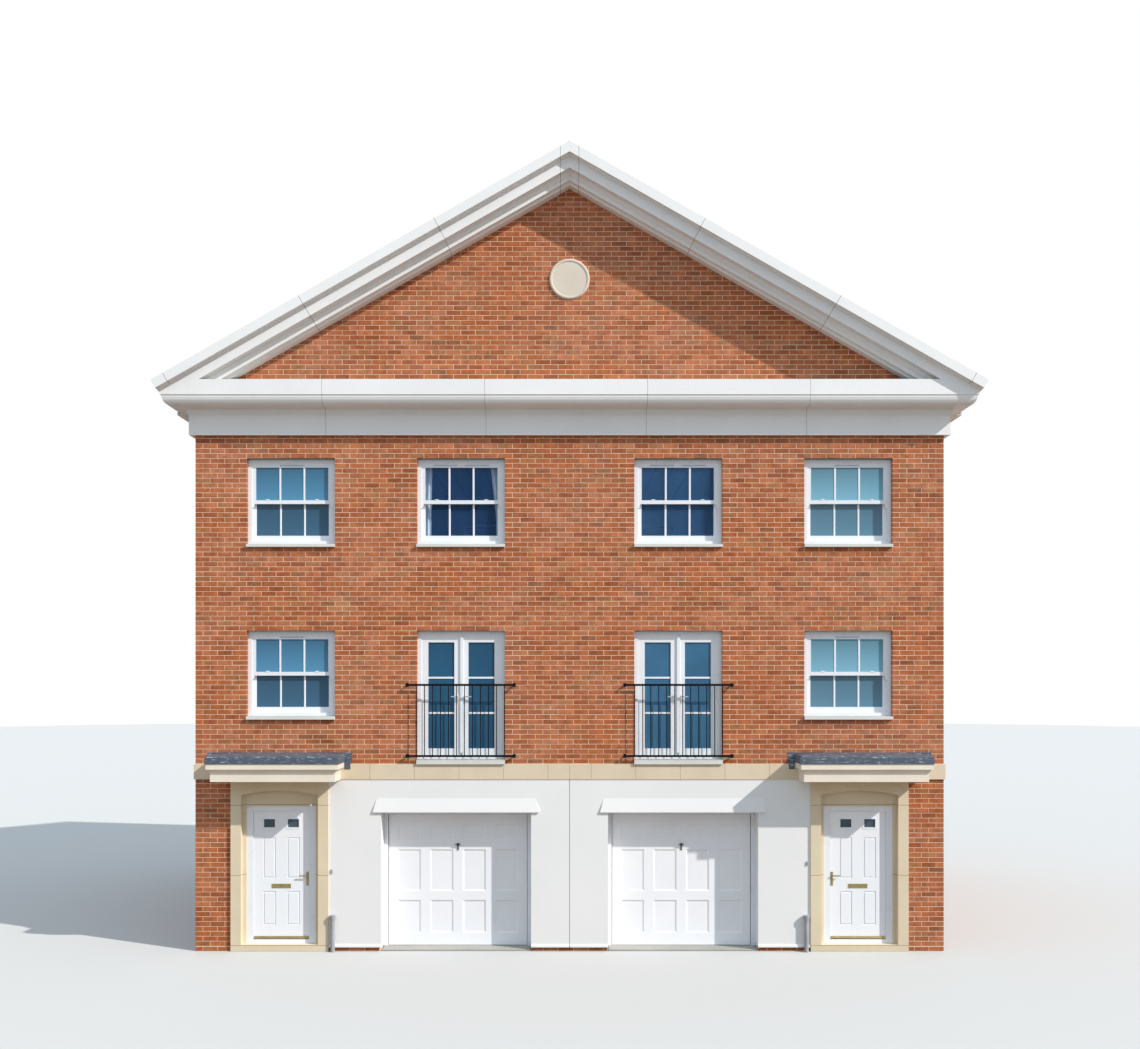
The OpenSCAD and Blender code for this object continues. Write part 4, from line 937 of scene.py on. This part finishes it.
def lintelRows():
    gap = lintel.endGap
    return [wallBlock(side, (left + gap, right - gap), lintel.deep, (head - lintel.high, head))
            for side in ("front", "rear") for left, right, _, head in wallOpenings(side)]


sashCatch = {
    "base": ((-0.034, 0.034), (0.086, 0.0985), (-0.004, 0.008)),
    "arm": ((-0.016, 0.022), (0.089, 0.0985), (0.008, 0.016))}
catchFromCentre = 0.375


def catchRows():
    sizes = windowSizes
    rows = []
    for side, centre, low, high in sashPlaces():
        meetingTop = (low + sizes.cill + high - sizes.frame) / 2 + sizes.meeting / 2
        for sign in (-1, 1):
            rows += fitting(side, centre + sign * catchFromCentre, meetingTop, sashCatch)
    return rows


doorLever = {
    "plate": ((-0.014, 0.014), (0.083, 0.0905), (-0.09, 0.05)),
    "neck": ((-0.008, 0.008), (0.045, 0.083), (0.006, 0.022)),
    "bar": ((-0.008, 0.1), (0.038, 0.050), (0.005, 0.023))}
leverPlaces = {"fromCentre": 0.055, "front": 3.836, "rear": 1.16}


def leverRows():
    rows = []
    for side, centre in glazedDoorPlaces():
        for sign in (-1, 1):
            x = centre + sign * leverPlaces["fromCentre"]
            rows += fitting(side, x, leverPlaces[side], doorLever, sign)
    return rows


vent = Sizes(drop=0.094, fromCentre=0.24, halfLong=0.18, halfHigh=0.008, deep=(0.079, 0.0885))


def ventRows():
    # Vents on the top rail: two over each inner window, one over each outer window
    rows = []
    for side, centre, _, high in sashPlaces():
        z = high - vent.drop
        pair = abs(centre) == house.innerWindow
        for shift in about(0.0, vent.fromCentre) if pair else (0.0,):
            across = about(centre + shift, vent.halfLong)
            rows.append(wallBlock(side, across, vent.deep, about(z, vent.halfHigh)))
    return rows


astragal = {
    "across": (-0.018, 0.034), "deep": (0.068, 0.0905), "front": (2.992, 4.782), "rear": (0.262, 2.092)}


def astragalRows():
    # A strip on the leaf that closes last, over the joint between the two
    left, right = astragal["across"]
    return [wallBlock(side, (centre + left, centre + right), astragal["deep"], astragal[side])
            for side, centre in glazedDoorPlaces()]


layBlocks("glazingBars", barRows(), "frame", arris=(0.16, 0.004, 0.5))
layBlocks("lintelStrips", lintelRows(), "steel", arris=(0.002, 0.02, 0.02))
layBlocks("sashCatches", catchRows(), "lacquer", arris=(0.08, 0.1, 0.1))
layBlocks("glazedDoorLevers", leverRows(), "lacquer", arris=(0.08, 0.1, 0.1))
layBlocks("trickleVents", ventRows(), "vent", arris=(0.01, 0.15, 0.4))
layBlocks("astragals", astragalRows(), "frame", arris=(0.08, 0.004, 0.2))


# Small things on the street face, and the ends of the eaves

bellPush = {
    "case": ((-0.0125, 0.0125), (-0.033, -0.0155), (-0.03, 0.03)),
    "button": ((-0.006, 0.006), (-0.037, -0.032), (-0.007, 0.007))}
bellPlaces = ((-3.597, 1.21), (3.594, 1.33))


def bellRows():
    return [block for x, z in bellPlaces for block in fitting("front", x, z, bellPush)]


lampDome = Sizes(
    places=((-3.915, 2.21), (4.85, 2.26)), deep=-0.046, radius=0.019, flatter=0.8, around=20, up=12)


def domes():
    # Flattened globes under the soffits of the canopies
    dome = lampDome
    shape = bmesh.new()
    for x, z in dome.places:
        made = bmesh.ops.create_uvsphere(
            shape, u_segments=dome.around, v_segments=dome.up, radius=dome.radius)
        spot = Vector(onWall("front", x, dome.deep, z))
        for vert in made["verts"]:
            vert.co = Vector((vert.co.x, vert.co.y * dome.flatter, vert.co.z)) + spot
    finishShape("soffitDomes", shape, "dome", smooth=True)


def turned(shape, profile, spot, axis, segments):
    # A closed solid of revolution from (radius, height) points, set on its axis at a spot
    rings = []
    for radius, high in profile:
        ring = []
        for i in range(segments):
            a = 2 * math.pi * i / segments
            u, v = radius * math.cos(a), radius * math.sin(a)
            point = (u, v, high) if axis == "Z" else (u, -high, v)
            ring.append(shape.verts.new(Vector(point) + spot))
        rings.append(ring)
    for low, up in zip(rings, rings[1:]):
        for i in range(segments):
            j = (i + 1) % segments
            shape.faces.new((low[i], low[j], up[j], up[i]))
    shape.faces.new(rings[0][::-1])
    shape.faces.new(rings[-1])


# The profile's heights are from the top of the pipe: a chamfered foot, and a lip round the mouth
pipeSocket = Sizes(
    places=(-3.576, 3.576), deep=-0.065, top=0.55, segments=24,
    profile=((0.036, -0.062), (0.044, -0.056), (0.044, -0.018), (0.048, -0.014), (0.048, -0.002),
    (0.045, 0.003)))


def pipeSockets():
    socket = pipeSocket
    shape = bmesh.new()
    profile = [(radius, socket.top + rise) for radius, rise in socket.profile]
    for x in socket.places:
        turned(shape, profile, Vector(onWall("front", x, socket.deep, 0.0)), "Z", socket.segments)
    finishShape("pipeSockets", shape, "grey")


bolt = Sizes(
    radius=0.0065, high=0.006, sunk=0.001, chamfer=0.001, fromArm=0.0185, sides=6, armFromCentre=0.81,
    armHeights=(2.956, 4.029), plateThick=0.008)


def balconyBolts():
    # Two hexagon heads on each wall plate, above and below the arm
    shape = bmesh.new()
    profile = [(bolt.radius, -bolt.sunk), (bolt.radius, bolt.high - bolt.chamfer),
               (bolt.radius - bolt.chamfer, bolt.high)]
    for centre in (-house.innerWindow, house.innerWindow):
        for x in about(centre, bolt.armFromCentre):
            for z in bolt.armHeights:
                for up in about(z, bolt.fromArm):
                    spot = Vector(onWall("front", x, -bolt.plateThick, up))
                    turned(shape, profile, spot, "Y", bolt.sides)
    finishShape("balconyBolts", shape, "steel")


eavesBox = Sizes(wall=5.661, fascia=6.039, soffit=8.2135, roofAtWall=8.6121, near=4.506, far=4.648)


def eavesEnds():
    # The box ends that close the hollow eaves behind the rear bargeboards
    box = eavesBox
    drop = (box.fascia - box.wall) * house.roofRise
    outline = ((box.wall, box.soffit), (box.fascia, box.soffit), (box.fascia, box.roofAtWall - drop),
               (box.wall, box.roofAtWall))
    shape = bmesh.new()
    for sign in (-1, 1):
        near, far = [[shape.verts.new((sign * x, y, z)) for x, z in outline] for y in (box.near, box.far)]
        shape.faces.new(near)
        shape.faces.new(far[::-1])
        for i in range(len(outline)):
            j = (i + 1) % len(outline)
            shape.faces.new((near[i], far[i], far[j], near[j]))
    finishShape("eavesEnds", shape, "board")


layBlocks("bellPushes", bellRows(), "grey", arris=(0.06, 0.06, 0.2))
domes()
pipeSockets()
balconyBolts()
eavesEnds()
print("small things made")


# Blinds and curtains

clothThick = 0.0012


def rodsPiece(name, places, radius):
    # Round rods along the walls, joined in one piece
    shape = bmesh.new()
    for side, centre, half, deep, z in places:
        made = bmesh.ops.create_cone(
            shape, cap_ends=True, segments=16, radius1=radius, radius2=radius, depth=2 * half)
        for vert in made["verts"]:
            x, y, along = vert.co
            vert.co = Vector(onWall(side, centre + along, deep + x, z + y))
    piece = finishShape(name, shape, "rod")
    for polygon in piece.data.polygons:
        polygon.use_smooth = len(polygon.vertices) == 4


def hangSheet(name, points, across, down, look):
    # A closed thin sheet from a grid of points, with its own map in metres
    columns, rowsDown = len(points[0]), len(points)
    mesh = bpy.data.meshes.new(name)
    faces = [(r * columns + c, r * columns + c + 1, (r + 1) * columns + c + 1, (r + 1) * columns + c)
             for r in range(rowsDown - 1) for c in range(columns - 1)]
    mesh.from_pydata([point for row in points for point in row], [], faces)
    layer = mesh.uv_layers.new(name="cloth")
    for loop in mesh.loops:
        r, c = divmod(loop.vertex_index, columns)
        layer.data[loop.index].uv = (across[c], down[r])
    holder = place(name + "Grid", mesh)
    thin = holder.modifiers.new("thickness", "SOLIDIFY")
    thin.thickness = clothThick
    thin.offset = 0.0
    piece = keepPiece(name, plainCopy(holder), look, smooth=True)


blind = Sizes(
    half=0.64, deep=0.215, headGap=0.03, sillGap=0.06, curl=0.003, columns=17, rowsDown=13,
    rollerRadius=0.018, rollerPast=0.015, rollerBelow=0.012)


def hangBlind(name, side, centre, top, bottom):
    wide, long = 2 * blind.half, top - bottom
    across = [wide * c / (blind.columns - 1) for c in range(blind.columns)]
    down = [long * r / (blind.rowsDown - 1) for r in range(blind.rowsDown)]
    points = []
    for fall in down:
        row = []
        for at in across:
            curl = blind.curl * math.sin(math.pi * at / wide) * (fall / long) ** 2
            row.append(onWall(side, centre + (at - blind.half), blind.deep + curl, top - fall))
        points.append(row)
    hangSheet(name, points, across, down, "blind")


curtain = Sizes(
    centre=-house.innerWindow, deep=0.25, top=7.528, bottom=6.02, pleat=0.07, fullness=1.8, stepsPerPleat=12,
    rowsDown=19, drift=0.25, topDepth=0.92, deeperBelow=0.16, sweepRate=1.6, rodRadius=0.011, rodHeight=7.53,
    rodHalf=0.86)
curtainSides = {
    "curtainLeft": {"inner": -0.455, "outer": -0.78, "swept": 0.02, "seed": 31},
    "curtainRight": {"inner": 0.42, "outer": 0.78, "swept": 0.10, "seed": 41}}


def hangCurtain(name, inner, outer, swept, seed):
    # Pleats as waves, with a length of cloth that is fuller than its rail, swept aside towards the foot
    look = curtain
    sign = 1 if outer > inner else -1
    wide, long = abs(outer - inner), look.top - look.bottom
    pleats = max(2, round(wide / look.pleat))
    count = pleats * look.stepsPerPleat + 1
    chance = random.Random(seed)
    drift = [chance.uniform(-look.drift, look.drift) for _ in range(pleats + 1)]
    waveDepth = wide / (2 * math.pi * pleats) * math.sqrt(2 * (look.fullness ** 2 - 1))
    points = []
    for r in range(look.rowsDown):
        fall = r / (look.rowsDown - 1)
        row = []
        for c in range(count):
            t = c / (count - 1)
            phase = 2 * math.pi * pleats * t + drift[int(t * pleats)] * fall
            out = waveDepth * math.sin(phase) * (look.topDepth + look.deeperBelow * fall)
            at = outer - sign * (wide - swept * min(1.0, look.sweepRate * fall)) * (1 - t)
            spot = onWall("front", look.centre + at, look.deep + out, look.top - long * fall)
            row.append(Vector(spot))
        points.append(row if sign > 0 else row[::-1])
    across = [0.0]
    for a, b in zip(points[0], points[0][1:]):
        across.append(across[-1] + (b - a).length)
    down = [long * r / (look.rowsDown - 1) for r in range(look.rowsDown)]
    hangSheet(name, points, across, down, "curtain")


blindPlaces = [
    (side, centre, high - blind.headGap, low + blind.sillGap)
    for side, centre, low, high in sashPlaces() if side == "rear"]
rollers = [
    (side, centre, blind.half + blind.rollerPast, blind.deep + blind.rollerRadius, top - blind.rollerBelow)
    for side, centre, top, bottom in blindPlaces]
rodsPiece("blindRollers", rollers, blind.rollerRadius)
for index, (side, centre, top, bottom) in enumerate(blindPlaces):
    hangBlind("blind" + str(index + 1), side, centre, top, bottom)
rodPlace = ("front", curtain.centre, curtain.rodHalf, curtain.deep, curtain.rodHeight)
rodsPiece("curtainRod", [rodPlace], curtain.rodRadius)
for name, shape in curtainSides.items():
    hangCurtain(name, **shape)
print("blinds and curtains hung")
